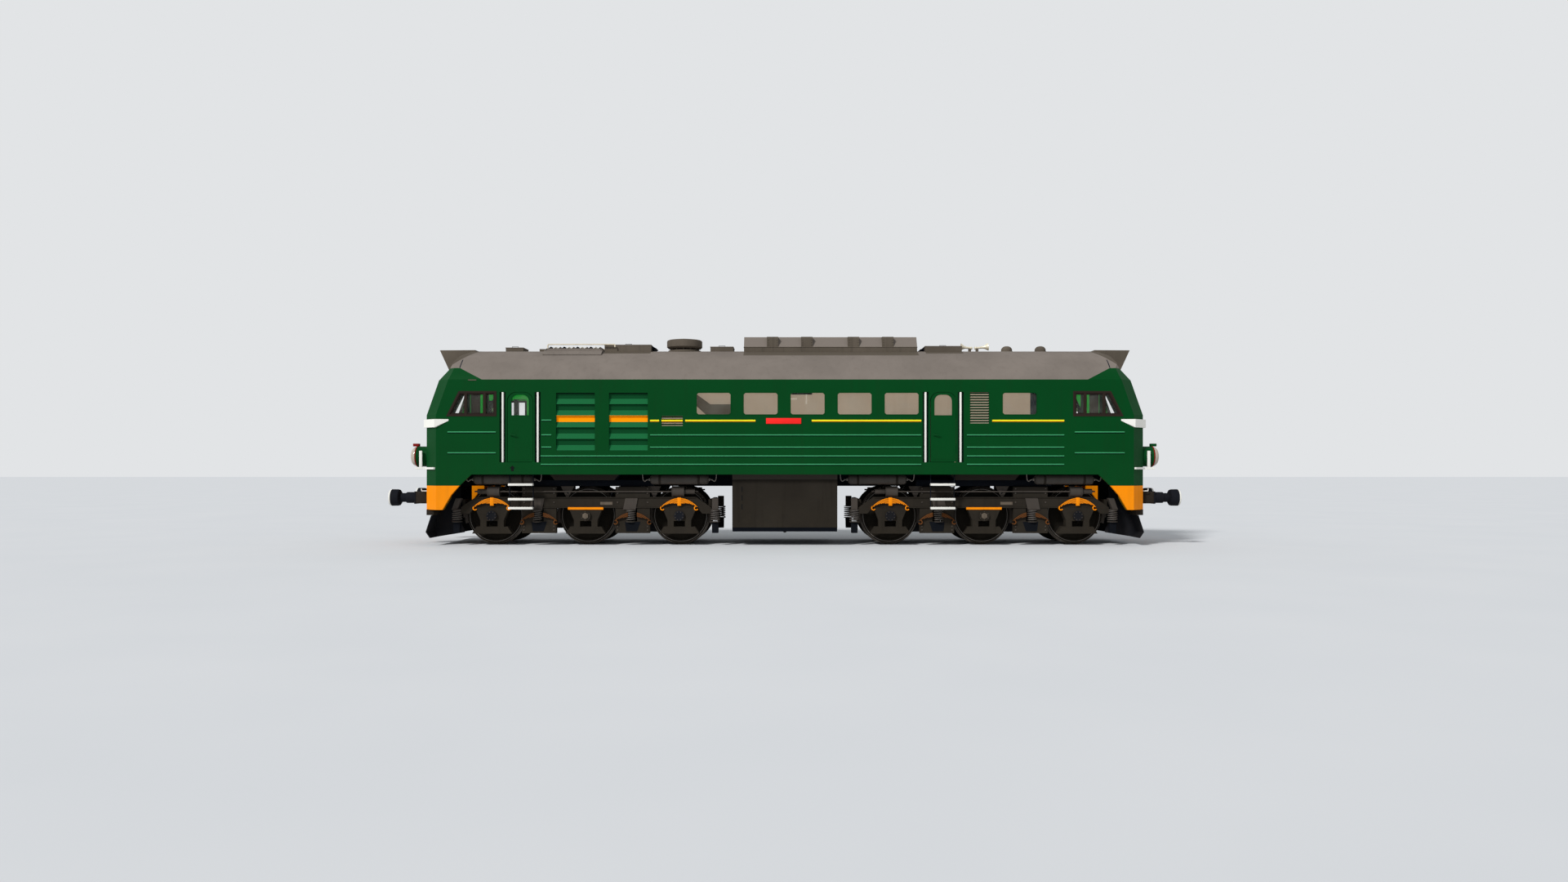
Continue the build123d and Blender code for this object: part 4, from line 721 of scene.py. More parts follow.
for part in wheelPattern.data.polygons:
    reach = hypot(part.center.x, part.center.z)
    depth = abs(part.center.y)
    # a thin pale ring on the wheel's face: painted highlight of the tyre's edge
    if wheel["highlightRing"][0] < reach < wheel["highlightRing"][1] and depth > wheel["highlightDepth"]:
        part.material_index = 1
    elif reach > wheel["tread"] and wheel["treadDepth"][0] < depth < wheel["treadDepth"][1]:
        part.material_index = 2
for end, middle in (("a", -bogieX), ("b", bogieX)):
    for number in (1, 2, 3):
        name = f"wheelset_{end}{number}"
        turned = copyOf(wheelPattern, at(middle + (number - 2) * axlePitch, 0, axleZ))
        turned = finishPiece(f"{name}_turned", [turned], name)
        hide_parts(name)
removePieces(wheelPattern)
print("wheels")


# Bolt head, modelled once
boltPattern = setAside(turnPiece("bolt", "ironGrey", [(0, 0.016), (0.009, 0.016), (0.012, 0.0128)], 6))


def boltsAt(places, turn, scale=1.0, finish="ironGrey"):
    for place in places:
        layCopy(boltPattern, at(*place) @ turn @ Matrix.Diagonal((scale, scale, scale, 1)))
        coat(tray[-1], finish)


# Coil spring, modelled once as a wire circle that the Screw modifier winds up
spring = {"radius": 0.098, "wire": 0.0135, "low": 0.527, "high": 0.786, "turns": 5, "steps": 20,
          "y": 1.072}


def makeCoil():
    clearSelection()
    bpy.ops.mesh.primitive_circle_add(vertices=8, radius=spring["wire"])
    coil = bpy.context.object
    coil.data.transform(at(spring["radius"], 0, 0) @ upright)
    winding = coil.modifiers.new("winding", "SCREW")
    winding.axis = "Z"
    winding.steps = winding.render_steps = spring["steps"]
    winding.iterations = spring["turns"]
    winding.screw_offset = (spring["high"] - spring["low"] - 2 * spring["wire"]) / spring["turns"]
    bpy.ops.object.modifier_apply(modifier="winding")
    bpy.ops.object.mode_set(mode="EDIT")
    return closeUp(coil, "coil", "coilIron", at(0, 0, spring["low"] + spring["wire"]))


# Leaf spring: each leaf is a bent strip, shorter from the top down, with rolled hooks at the ends
leaf = {"half": 0.4, "drop": 0.19, "thick": 0.0135, "step": 0.047, "count": 8, "width": 0.055,
        "hookX": 0.372}


def dropAt(x):
    return -leaf["drop"] * (x / leaf["half"]) ** 2


def makeLeaf(number, fromX, finish):
    reach = leaf["half"] - number * leaf["step"]
    start = -reach if fromX is None else fromX
    clearSelection()
    bpy.ops.mesh.primitive_grid_add(x_subdivisions=14, y_subdivisions=1, size=2)
    strip = bpy.context.object
    for vertex in strip.data.vertices:
        x = start + (reach - start) * (vertex.co.x + 1) / 2
        vertex.co = (x, leaf["width"] / 2 * vertex.co.y, dropAt(x) - number * (leaf["thick"] + 0.002))
    wall = strip.modifiers.new("wall", "SOLIDIFY")
    wall.thickness = leaf["thick"]
    wall.offset = -1
    bpy.ops.object.modifier_apply(modifier="wall")
    layDown(strip, "leaf", finish)


def makeStack(fromX, bright, dark, count):
    # every other leaf takes the darker finish: painted shade
    for i in range(count):
        makeLeaf(i, fromX, dark if i % 2 else bright)
    # rolled end of the top leaf, open outwards
    outline = arcPoints((0, 0), 0.05, 110, -150, 14) + arcPoints((0, 0), 0.031, -150, 110, 14)
    hook = setAside(sidePlate("hook", bright, outline, leaf["width"], leaf["width"] / 2))
    place = at(leaf["hookX"], 0, dropAt(leaf["hookX"]) - 0.058)
    layCopy(hook, place @ flipX)
    if fromX is None:
        layCopy(hook, flipX @ place)
        block("clip", bright, (-0.0395, -0.0305, -0.17), (0.0395, 0.0305, 0.012), 0.006)
    removePieces(hook)
    return joinPieces("leafStack", takeTray())


coilPattern = setAside(makeCoil())
outerStack = makeStack(None, "orangeCoat", "orangeShade", leaf["count"])
innerStack = makeStack(0.1, "rustLeaf", "rustShade", leaf["count"] - 2)
springSeat = setAside(turnPiece("springSeat", "ironGrey", [(0, 0.04), (0, 0.112), (0.014, 0.112),
                                                           (0.018, 0.06)], 32))
leafY = frameY + leaf["width"] / 2
# top block over each coil: middle, half width at the top and at the foot, lean of the foot towards the nose
blockTable = [(-2.85, 0.07, 0.07, 0.0), (-0.985, 0.14, 0.14, 0.05), (1.078, 0.14, 0.14, 0.05),
              (2.85, 0.064, 0.064, 0.09)]
for end, nose in (("a", -1), ("b", 1)):
    middle = nose * bogieX
    for side in sides:
        y = side * spring["y"]
        for offset, topHalf, footHalf, lean in blockTable:
            x, leanX = middle + nose * offset, nose * lean / 2
            layCopy(coilPattern, at(x, y, 0))
            layCopy(springSeat, at(x, y, spring["high"] - 0.004))
            layCopy(springSeat, at(x, y, spring["low"] - 0.014))
            outline = [(-footHalf + leanX, spring["high"]), (footHalf + leanX, spring["high"]),
                       (topHalf - leanX, 1.04), (-topHalf - leanX, 1.04)]
            sidePlate("springBlock", "ironGrey", outline, 0.145, y + 0.0725, 0.007, x)
            if abs(offset) > 2:
                outline = [(-0.07, 0.273), (0.07, 0.273), (0.075, 0.513), (-0.075, 0.513)]
                sidePlate("springFoot", "shadowNavy", outline, 0.11, y + 0.055, 0.006, x)
    wound = finishPiece(f"springs_{end}_wound", takeTray(), f"bogie_{end}")
    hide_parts(f"springs_{end}")
    for side in sides:
        for turn in sides:
            layCopy(outerStack, at(middle + turn * axlePitch, side * leafY, 1.046))
            for hand in (Matrix.Identity(4), flipX):
                layCopy(innerStack, at(middle + turn * springX, side * leafY, 0.735) @ hand)
    stacked = finishPiece(f"leaf_springs_{end}_stacked", takeTray(), f"bogie_{end}")
    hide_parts(f"leaf_springs_{end}")
removePieces(coilPattern, outerStack, innerStack, springSeat)
print("springs")


# Bogie sides, modelled for the right side of the bogie under cab b
cylinder = {"y": -1.06, "z": 1.186, "inset": 0.03}


def dressAxle(x, rings, segments, finish, boltCount, boltReach, boltLift):
    # cover with a ring of bolts
    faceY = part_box("axleboxes_b")[0].y
    turnPiece("axleCover", finish, rings, segments, at(x, faceY, axleZ) @ upright)
    angles = [(i + 0.5) * 2 * pi / boltCount for i in range(boltCount)]
    ring = [(x + boltReach * cos(a), faceY - boltLift, axleZ + boltReach * sin(a)) for a in angles]
    boltsAt(ring, upright, 0.75)


def dressBogie():
    outerCover = [(0, 0.07), (0, 0.113), (0.008, 0.113), (0.012, 0.105), (0.012, 0.074), (0.006, 0.068),
                  (0.006, 0.01)]
    for turn in sides:
        dressAxle(bogieX + turn * axlePitch, outerCover, 40, "shadeNavyIron", 8, 0.09, 0.011)
    middleCover = [(0, 0.06), (0, 0.072), (0.02, 0.068), (0.024, 0.05)]
    dressAxle(bogieX, middleCover, 6, "plateTan", 6, 0.095, 0.001)
    # flanges along the frame's top and bottom edges
    for low in (1.046, 0.826):
        block("edgeFlange", "bogieBrown", (bogieX - 2.42, -frameY - 0.02, low),
              (bogieX + 2.42, -frameY + 0.01, low + 0.02), 0.004, 1)
    rows = [(bogieX + x + d, -frameY, z) for x in (-springX, springX) for d in (-0.33, 0.33)
            for z in (0.34, 0.42, 0.95, 1.15, 1.25)]
    boltsAt(rows, upright, 1.2)
    # dark navy plates under the middle springs: painted shade of the pockets
    for x in (-springX, springX):
        outline = [(x - 0.10, 0.31), (x + 0.14, 0.31), (x + 0.17, 0.52), (x - 0.17, 0.52)]
        sidePlate("pocket", "shadowNavy", outline, 0.012, -frameY + 0.008, 0, bogieX)
    # grey hanger plates between the frame and the body
    for x in (0.42, -1.50):
        outline = [(x - 0.15, 1.305), (x + 0.15, 1.305), (x + 0.03, 1.07), (x - 0.03, 1.07)]
        sidePlate("hanger", "ironGrey", outline, 0.03, -1.03, 0.004, bogieX)
    # brake cylinders' flanges and push rods
    flange = [(0, 0.11), (0, 0.126), (0.018, 0.126), (0.018, 0.11)]
    piston = [(-0.01, 0.03), (-0.01, 0.049), (0.19, 0.049), (0.2, 0.04), (0.2, 0.018), (0.3, 0.018)]
    for turn in sides:
        place = at(bogieX + turn * (axlePitch - cylinder["inset"]), cylinder["y"], cylinder["z"])
        for offset in (-0.135, 0.117):
            turnPiece("cylinderFlange", "ironGrey", flange, 32, place @ at(offset, 0, 0) @ alongX)
        turnPiece("pistonTube", "ironGrey", piston, 24,
                  place @ at(turn * 0.135, 0, 0.002) @ facing(turn))
    # the air line dips into the frame on both sides of the middle wheel
    for line in ([(-axlePitch + 0.16, 1.19), (-1.2, 1.178), (-0.64, 1.19), (-0.56, 1.18),
                  (-0.54, 1.06)],
                 [(0.38, 1.06), (0.4, 1.18), (0.48, 1.19), (1.2, 1.178), (axlePitch - 0.19, 1.19)]):
        line = [(bogieX + x, -1.0 if z < 1.1 else -1.08, z) for x, z in line]
        pipe("airLine", "shadeNavyIron", line, 0.012)


def dressMiddle():
    # covers over the motors' air ducts, just under the body
    cover = [(0.56, 1.2), (0.6, 1.29), (1.62, 1.29), (1.66, 1.2), (1.3, 1.05), (0.78, 1.05)]
    for turn in sides:
        sidePlate("ductCover", "deepBrown", [(turn * x, z) for x, z in cover], 0.6, 0.3, 0.01, bogieX)


def underBothCabs(name, underB):
    underA = [copyOf(one, flipX) for one in underB]
    finishPiece(f"{name}_b", underB, "bogie_b")
    finishPiece(f"{name}_a", underA, "bogie_a")


dressBogie()
bogieSides = onBothSides()
dressMiddle()
underBothCabs("bogie_dressing", bogieSides + takeTray())
corner = [(2.31, 1.312), (2.575, 1.312), (2.575, 1.0), (2.535, 1.03), (2.38, 1.24), (2.31, 1.24)]
# the corner plates are given glowing orange: painted light
sidePlate("cornerPlate", "orangePaintedLight", corner, 0.05, -0.86, 0.004, bogieX)
block("axleStrip", "orangeCoat", (bogieX - 0.39, -1.165, 0.789), (bogieX + 0.39, -1.12, 0.843),
      0.004, 1)
underBothCabs("orange_plates", onBothSides())
for end, x in (("a", 0.452 - bogieX), ("b", 0.502 + bogieX)):
    blockAt("tag", "plateTan", (x, -frameY + 0.002, 0.9265), (0.135, 0.008, 0.0325), 0.003, 1)
    finishPiece(f"bogie_tags_{end}", onBothSides(), f"bogie_{end}")
print("bogies")


# Air reservoirs with domed ends, straps and valves
reservoir = {"y": -1.19, "z": 1.455, "radius": 0.11, "strapTop": 1.76}
tankY, tankZ, r = reservoir["y"], reservoir["z"], reservoir["radius"]
strapRings = [(-0.025, 0.1), (-0.025, r + 0.005), (0.025, r + 0.005), (0.025, 0.1)]
for x, length in ((-6.176, 1.317), (-2.314, 1.282), (2.029, 1.282), (6.132, 1.300)):
    half = length / 2
    endRings = [(half - 0.055, r), (half - 0.02, 0.09), (half, 0.06), (half, 0.03)]
    rings = [(-along, radius) for along, radius in reversed(endRings)] + endRings
    turnPiece("reservoir", "tankGrey", rings, 36, at(x, tankY, tankZ) @ alongX)
    for strapX in (x - length / 3, x + length / 3):
        turnPiece("strap", "bogieBrown", strapRings, 36, at(strapX, tankY, tankZ) @ alongX)
        block("hangerBar", "bogieBrown", (strapX - 0.025, tankY - 0.05, tankZ + 0.06),
              (strapX + 0.025, tankY + 0.05, reservoir["strapTop"]), 0.003, 1)
    for turn in sides:
        endX = x + turn * half
        turnPiece("boss", "paleIron", [(0, 0.034), (0.03, 0.034), (0.034, 0.02)], 16,
                  at(endX, tankY, tankZ) @ facing(turn))
        bends = ((0, 0, tankZ), (0.08, 0, tankZ), (0.12, 0, tankZ - 0.05), (0.17, 0, tankZ),
                 (0.17, -0.02, 1.60))
        elbow = [(endX + turn * out, tankY + aside, z) for out, aside, z in bends]
        pipe("elbow", "paleIron", elbow, 0.013)
reservoirs = finishPiece("air_reservoirs_turned", onBothSides())
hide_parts("air_reservoirs")


# Steps: cleated treads between two hanging straps
step = {"tops": (1.370, 1.052, 0.856), "half": 0.266, "inner": 1.312, "tread": 0.05, "cleatPitch": 0.06}
for x in doorX.values():
    for top in step["tops"]:
        block("tread", "whiteCoat", (x - step["half"], -wallY, top - step["tread"]),
              (x + step["half"], -step["inner"], top), 0.006)
        for i in range(-4, 5):
            cleatX = x + i * step["cleatPitch"]
            block("cleat", "plateTan", (cleatX - 0.006, -wallY + 0.012, top - 0.002),
                  (cleatX + 0.006, -step["inner"] - 0.012, top + 0.004), 0.002, 1)
    for turn in sides:
        strapX = x + turn * (step["half"] - 0.009)
        block("strap", "shadeNavyIron", (strapX - 0.009, -1.366, 0.806), (strapX + 0.009, -1.318, 1.566),
              0.003, 1)
        bolts = [(strapX + turn * 0.009, -1.342, top - 0.025) for top in step["tops"]]
        boltsAt(bolts, facing(turn), 0.7)
steps = finishPiece("steps_cleated", onBothSides())
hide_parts("steps")


# Fuel tank: slots, rim and drain
for low in (0.80, 0.99, 1.18):
    block("tankSlot", "shadowNavy", (-0.945, -1.2925, low), (-0.931, -1.28, low + 0.12), 0.002, 1)
block("tankRim", "bogieBrown", (-1.15, -1.302, 1.434), (1.15, -1.28, 1.448), 0.003, 1)
turnPiece("drain", "ironGrey", [(0, 0.045), (0.02, 0.045), (0.024, 0.03), (0.04, 0.03)], 16,
          at(0, -0.9, 0.312) @ Matrix.Rotation(pi, 4, "X"))
finishPiece("tank_fittings", onBothSides())

# Dark beams above the bogies, brackets under the nose and the aprons' inner edges
block("bolsterBeam", "shadowNavy", (2.9, -1.04, 1.305), (5.9, -0.98, 1.442), 0.006)
block("noseBracket", "deepBrown", (7.70, -1.24, 0.672), (7.862, -0.62, 0.798), 0.008)
apronEdge = [(7.359, 1.116), (7.27, 1.116), (7.285, 1.036), (7.43, 0.798), (7.493, 0.798)]
sidePlate("apronEdge", "oliveShade", apronEdge, 0.04, -1.35)
finishPiece("underframe_beams", onAllCorners())
print("underframe")


# Raised ribs and the yellow line on the body sides
def beads(name, rows):
    # rows: spans of x and z, height, how far it stands out, finish. A unit bead is stretched to each span
    for spans, height, proud, finish in rows:
        outline = [(-proud * cos(radians(a)), height / 2 * sin(radians(a))) for a in range(-90, 91, 30)]
        outline += [(0.004, height / 2), (0.004, -height / 2)]
        unit = setAside(plate("bead", finish, outline, 1, 0, alongX))
        for fromX, toX, z in spans:
            layCopy(unit, at(fromX, -wallY, z) @ Matrix.Diagonal((toX - fromX, 1, 1, 1)))
        removePieces(unit)
    finishPiece(name, onBothSides())


rib = {"high": (2.424, 2.158), "low": (1.967, 1.786), "end": (2.488, 2.036),
       "short": (2.745, 2.426, 2.160)}
ribTable = [(-2.926, 2.962, "high"), (-5.303, 2.962, "low"), (3.955, 6.065, "high"),
            (3.955, 6.065, "low"), (-5.285, -5.072, "short"), (-7.325, -6.278, "end"),
            (6.296, 7.378, "end")]
ribSpans = [(a, b, z) for a, b, kind in ribTable for z in rib[kind]]
shadeSpans = [(a, b, z - 0.021) for a, b, z in ribSpans]
# pale beads on top are painted highlight, the dark beads under them painted shade
beads("side_ribs", [(ribSpans, 0.024, 0.012, "ribHighlight"), (shadeSpans, 0.018, 0.007, "ribShade")])
lineSpans = [(-2.926, -2.731), (-2.678, -2.217), (-2.164, -0.638), (0.585, 2.962), (4.505, 6.065)]
# the yellow bead glows a little, painted light; the darker bead under it is painted shade
beads("yellow_line", [([(a, b, 2.738) for a, b in lineSpans], 0.03, 0.014, "yellowCoat"),
                      ([(a, b, 2.715) for a, b in lineSpans], 0.02, 0.010, "stripeShade")])

# Blank red plate, the lifting mark under the cab door and a gutter over the cab window
block("blank_plate", "redCoat", (-0.408, -wallY - 0.016, 2.665), (0.355, -wallY + 0.01, 2.79), 0.005)
finishPiece("blank_plate", onBothSides())
arrow = [(-5.9165, 1.761), (-5.98, 1.70), (-5.945, 1.70), (-5.945, 1.637), (-5.888, 1.637),
         (-5.888, 1.70), (-5.853, 1.70)]
sidePlate("lifting_mark", "blackMark", arrow, 0.004, -wallY + 0.001)
finishPiece("lifting_mark", onBothSides())
block("gutter", "plateTan", (-6.88, -wallY - 0.012, 3.607), (-6.70, -wallY + 0.01, 3.625), 0.004, 1)
finishPiece("cab_gutter", onBothSides())


# White band round the nose, drawn out to a point on the sides
noseBand = {"bottom": 2.592, "top": 2.768, "pointX": 7.35, "rise": 0.14}
outer = [(7.305, -1.4765), (7.6, -1.522), (7.936, -1.186)]
inner = [(7.878, -1.163), (7.58, -1.473)]
outline = outer + [(x, -y) for x, y in reversed(outer)] + [(x, -y) for x, y in reversed(inner)] + inner
whiteBand = setAside(plate("noseBand", "whiteCoat", outline, noseBand["top"] - noseBand["bottom"], 0,
                           at(0, 0, noseBand["bottom"])))
for vertex in whiteBand.data.vertices:
    if vertex.co.x < noseBand["pointX"] and vertex.co.z < noseBand["bottom"] + 0.05:
        vertex.co.z += noseBand["rise"]
finishPiece("nose_bands", [whiteBand, copyOf(whiteBand, flipX)])
print("sides")


# Seals and frames round the windows
sealLook = {"band": 0.016, "depth": 0.02, "proud": 0.004}
cabFrame = {"band": 0.046, "depth": 0.03, "proud": 0.008, "mullions": (6.525, 6.935)}
hallPanes = {"first": -1.546, "pitch": 1.021, "count": 5, "last": 5.102, "z": 3.104}


def wallRing(name, finish, outline, look):
    place = at(0, look["depth"] - look["proud"] - wallY, 0)
    ringPlate(name, finish, outline, look["band"], look["depth"], place @ upright)


panes = [hallPanes["first"] + hallPanes["pitch"] * i for i in range(hallPanes["count"])]
for x in panes + [hallPanes["last"]]:
    wallRing("seal", "plainGreen", cutCorners(x, hallPanes["z"], 0.766, 0.497, 0.045), sealLook)
finishPiece("window_seals", onBothSides())
wallRing("cabFrame", "darkBrown", [(6.262, 2.828), (7.356, 2.828), (7.083, 3.377), (6.262, 3.377)],
         cabFrame)
for x in cabFrame["mullions"]:
    block("mullion", "darkBrown", (x - 0.033, -wallY - 0.004, 2.86), (x + 0.033, -wallY + 0.05, 3.345),
          0.004, 1)
    block("innerPost", "shadowNavy", (x - 0.03, -1.43, 2.84), (x + 0.03, -1.21, 3.37), 0.004, 1)
# behind the middle pane
block("sunShade", "darkBrown", (6.645, -1.37, 2.80), (6.853, -1.352, 3.36), 0.006)
sidePlate("slopedPost", "shadowNavy", [(7.325, 2.84), (7.06, 3.37), (7.01, 3.37), (7.275, 2.84)],
          0.22, -1.21)
pipe("shadeRail", "paleIron", [(6.30, -1.36, 3.37), (7.02, -1.36, 3.37)], 0.008, soft=False)
cabTrim = onAllCorners()
# a dark sheet in cab a's far window: painted shade of the cab inside
block("darkShadeSheet", "ribShade", (-7.34, 1.36, 2.86), (-6.97, 1.37, 3.35), 0.003, 1)
finishPiece("cab_window_trim", cabTrim + takeTray())

# Side doors: window seal, handle, kick plate and rubber lip
handle = {"offset": 0.2, "z": 2.42, "out": 0.05, "reach": 0.12}


def doorOutline(x, halfWidth, low, high, corner):
    outline = [(x - halfWidth, low), (x + halfWidth, low)]
    outline += arcPoints((x + halfWidth - corner, high - corner), corner, 0, 90, 8)
    return outline + arcPoints((x - halfWidth + corner, high - corner), corner, 90, 180, 8)


for door, x in doorX.items():
    wallRing("doorSeal", "plainGreen", doorOutline(x, 0.206, 2.836, 3.313, 0.155), sealLook)
    leverX, z, out = x - handle["offset"], handle["z"], -wallY - handle["out"]
    lever = [(leverX, -wallY - 0.002, z), (leverX, out, z), (leverX + handle["reach"], out, z)]
    pipe("doorHandle", "plainGreen", lever, 0.011)
    turnPiece("handleRose", "plainGreen", [(0, 0.03), (0.006, 0.03), (0.01, 0.02)], 20,
              at(leverX, -wallY + 0.001, z) @ upright)
    sidePlate("kickPlate", "plainGreen", cutCorners(x, 2.02, 0.46, 0.26, 0.02), 0.004, -wallY + 0.001)
    ringPlate("rubberLip", "rubberGreen", doorOutline(x, 0.303, 1.815, 3.375, 0.215), 0.035, 0.014,
              at(0, -1.385, 0) @ upright)
    # no lip on the hinge side, where the door turns into the body
    editAll()
    bpy.ops.mesh.bisect(plane_co=(x + 0.25, 0, 0), plane_no=(1, 0, 0), use_fill=True, clear_outer=True)
    bpy.ops.object.mode_set(mode="OBJECT")
    for hand, trim in zip(("right", "left"), onBothSides()):
        finishPiece(f"door_trim_{door}_{hand}", [trim], f"door_{door}_{hand}")
print("windows and doors")


# What shows through the windows: duct and pipes beside the engine, pillar, and behind the shutters a dark
# sheet, painted shade
duct = [(-2.2, 3.52), (-2.2, 3.30), (-1.760, 2.895), (-1.15, 2.895), (-1.15, 3.128), (-1.66, 3.128)]
sidePlate("duct", "ductBrown", duct, 0.13, -0.72, 0.006)
block("pillar", "shadowNavy", (5.36, -1.39, 1.81), (5.50, -1.33, 3.58), 0.01)
for points in ([(0.482, -0.76, 3.14), (0.482, -0.76, 3.36)],
               [(0.06, -0.76, 3.255), (0.273, -0.76, 3.255)]):
    pipe("hallPipe", "hallPipe", points, 0.018, soft=False)
block("pipeRail", "shadeNavyIron", (0.148, -0.79, 3.352), (0.612, -0.72, 3.40), 0.004, 1)
# a dark sheet behind the shutters: painted shade of the engine room
block("shutterShadeSheet", "rubberGreen", (-4.99, -1.368, 2.05), (-2.96, -1.36, 3.36), 0.002, 1)
finishPiece("engine_room_fittings", onBothSides())

# Desk: gauges on the sloping panel that faces the driver, lamp and brake wheel, at both places
gauge = {"x": 7.28, "z": 2.606, "count": 5, "pitch": 0.14, "slope": -58.4}
# foot and head of the lamp stand outside the seat by these shares of its y
deskLamp = {"headX": 6.93, "headZ": 3.1, "foot": 1.25, "head": 1.2}
brakeWheel = {"x": 7.52, "aside": 0.42, "z": 2.75}
rimRings = [(-0.004, 0.03), (-0.004, 0.055), (0.014, 0.055), (0.016, 0.046), (0.008, 0.044)]
shadeRings = [(-0.06, 0.02), (-0.05, 0.045), (-0.01, 0.062), (0.03, 0.055), (0.045, 0.03)]
wheelRim = [(-0.01, 0.10), (-0.016, 0.11), (0, 0.122), (0.016, 0.11), (0.01, 0.10)]
slope = Matrix.Rotation(radians(gauge["slope"]), 4, "Y")
for y in (-seat["y"], seat["y"]):
    for i in range(gauge["count"]):
        place = at(gauge["x"], y + gauge["pitch"] * (i - 2), gauge["z"]) @ slope
        turnPiece("gaugeRim", "shadeNavyIron", rimRings, 20, place)
        turnPiece("gaugeFace", "creamCoat", [(0, 0.02), (0, 0.045), (0.009, 0.045), (0.009, 0.01)], 20,
                  place)
    lampY, headY, headX = y * deskLamp["foot"], y * deskLamp["head"], deskLamp["headX"]
    stem = [(7.0, lampY, 2.3), (6.98, lampY, 2.7), (6.96, lampY, 2.95), (headX, headY, 3.07)]
    pipe("lampStem", "paleIron", stem, 0.012)
    turnPiece("lampHead", "creamCoat", shadeRings, 20, at(headX, headY, deskLamp["headZ"]))
    block("lampFoot", "cabGreen", (6.96, lampY - 0.05, 1.8), (7.06, lampY + 0.05, 2.34), 0.01)
    wheelX, wheelY, wheelZ = brakeWheel["x"], y - brakeWheel["aside"], brakeWheel["z"]
    wheelPlace = at(wheelX, wheelY, wheelZ) @ slope
    turnPiece("brakeWheel", "creamCoat", wheelRim, 28, wheelPlace)
    post = [(wheelX, wheelY, wheelZ - 0.09), (wheelX - 0.02, wheelY, wheelZ)]
    pipe("wheelPost", "shadeNavyIron", post, 0.02, soft=False)
    blockAt("spoke", "creamCoat", (0, 0, 0), (0.1, 0.012, 0.008), 0.004, 1, wheelPlace)
desk = joinPieces("desk", takeTray())
finishPiece("desk_fittings", [desk, copyOf(desk, flipX)])
print("inside")


# Nose lamps: drum with hinged bezel, domed lens and a small marker lamp on top
lamp = {"y": 0.88, "z": 1.963, "markerX": 8.1975, "markerZ": 2.218}
drumRings = [(0, 0.20), (0, 0.234), (0.014, 0.234), (0.02, 0.224), (0.24, 0.224), (0.25, 0.23),
             (0.275, 0.23)]
bezelRings = [(0.27, 0.2), (0.27, 0.2355), (0.284, 0.2355), (0.294, 0.23), (0.296, 0.21), (0.286, 0.2)]
lensRings = [(0.28, 0.2), (0.30, 0.214), (0.318, 0.213), (0.345, 0.205), (0.37, 0.19), (0.391, 0.165),
             (0.405, 0.13), (0.414, 0.08), (0.418, 0.02)]
for finish, rings in (("plainGreen", drumRings), ("darkRed", bezelRings), ("lensGlass", lensRings)):
    turnPiece("lampPart", finish, rings, 48, at(noseX, -lamp["y"], lamp["z"]) @ alongX)
block("lampHinge", "plainGreen", (noseX + 0.26, -lamp["y"] + 0.225, lamp["z"] - 0.04),
      (noseX + 0.3, -lamp["y"] + 0.25, lamp["z"] + 0.04))
lampSet = onAllCorners()
for end, finish in ((-1, "darkRed"), (1, "plainGreen")):
    for side in sides:
        middle = (end * lamp["markerX"], side * lamp["y"], lamp["markerZ"])
        blockAt("lampMarker", finish, middle, (0.0675, 0.05, 0.032), 0.01)
lamps = finishPiece("nose_lamps_turned", lampSet + takeTray())
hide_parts("nose_lamps")

# Handrails beside the doors
railing = {"offset": 0.381, "y": -1.45, "low": 1.832, "high": 3.357, "radius": 0.024}
low, high, r = railing["low"], railing["high"], railing["radius"]
railRings = [(low, r - 0.008), (low, r - 0.003), (low + 0.006, r), (high - 0.006, r), (high, r - 0.003),
             (high, r - 0.008)]
for x in [x + turn * railing["offset"] for x in doorX.values() for turn in sides]:
    turnPiece("doorRail", "whiteCoat", railRings, 24, at(x, railing["y"], 0))
    for z in (low + 0.12, (low + high) / 2, high - 0.12):
        blockAt("railSaddle", "plainGreen", (x, railing["y"] + 0.014, z), (0.036, 0.012, 0.014),
                0.003, 1)
railSet = onBothSides()

# Guards under the nose lamps. The bar runs on along the nose's chamfers
guard = {"back": 7.86, "front": 8.136, "inner": -0.58, "outer": -1.18, "bar": 0.045, "low": 1.677,
         "post": (7.979, 8.043), "top": 2.085}
back, front, inner, outer, bar = (guard[key] for key in ("back", "front", "inner", "outer", "bar"))
loop = [(back, outer), (front, outer), (front, inner), (back, inner), (back, inner - bar),
        (front - bar, inner - bar), (front - bar, outer + bar), (back, outer + bar)]
wrap = [(7.88, -1.16), (7.88, -1.19), (7.912, -1.191), (7.631, -1.485), (7.599, -1.454)]
for outline in (loop, wrap):
    plate("guardBar", "whiteCoat", outline, bar, 0.003, at(0, 0, guard["low"]))
block("guardPost", "whiteCoat", (guard["post"][0], outer + 0.001, guard["low"] + bar - 0.001),
      (guard["post"][1], outer + bar, guard["top"]))
handrails = finishPiece("handrails_welded", railSet + onAllCorners())
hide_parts("handrails")

# Buffers: flanged housing, barrel and dished head with a white rim
buffer = {"y": -0.875, "z": 1.05, "rim": 0.155, "plateFront": 8.206, "baseFront": noseX + 0.022}


def bufferPlate(finish, fromX, toX, half, bevel=0.004):
    middle = ((fromX + toX) / 2, buffer["y"], buffer["z"])
    blockAt("bufferPlate", finish, middle, ((toX - fromX) / 2, half, half), bevel)


def bufferBolts(x, spread):
    corners = [(x, buffer["y"] + a * spread, buffer["z"] + b * spread) for a in sides for b in sides]
    boltsAt(corners, facing(1))


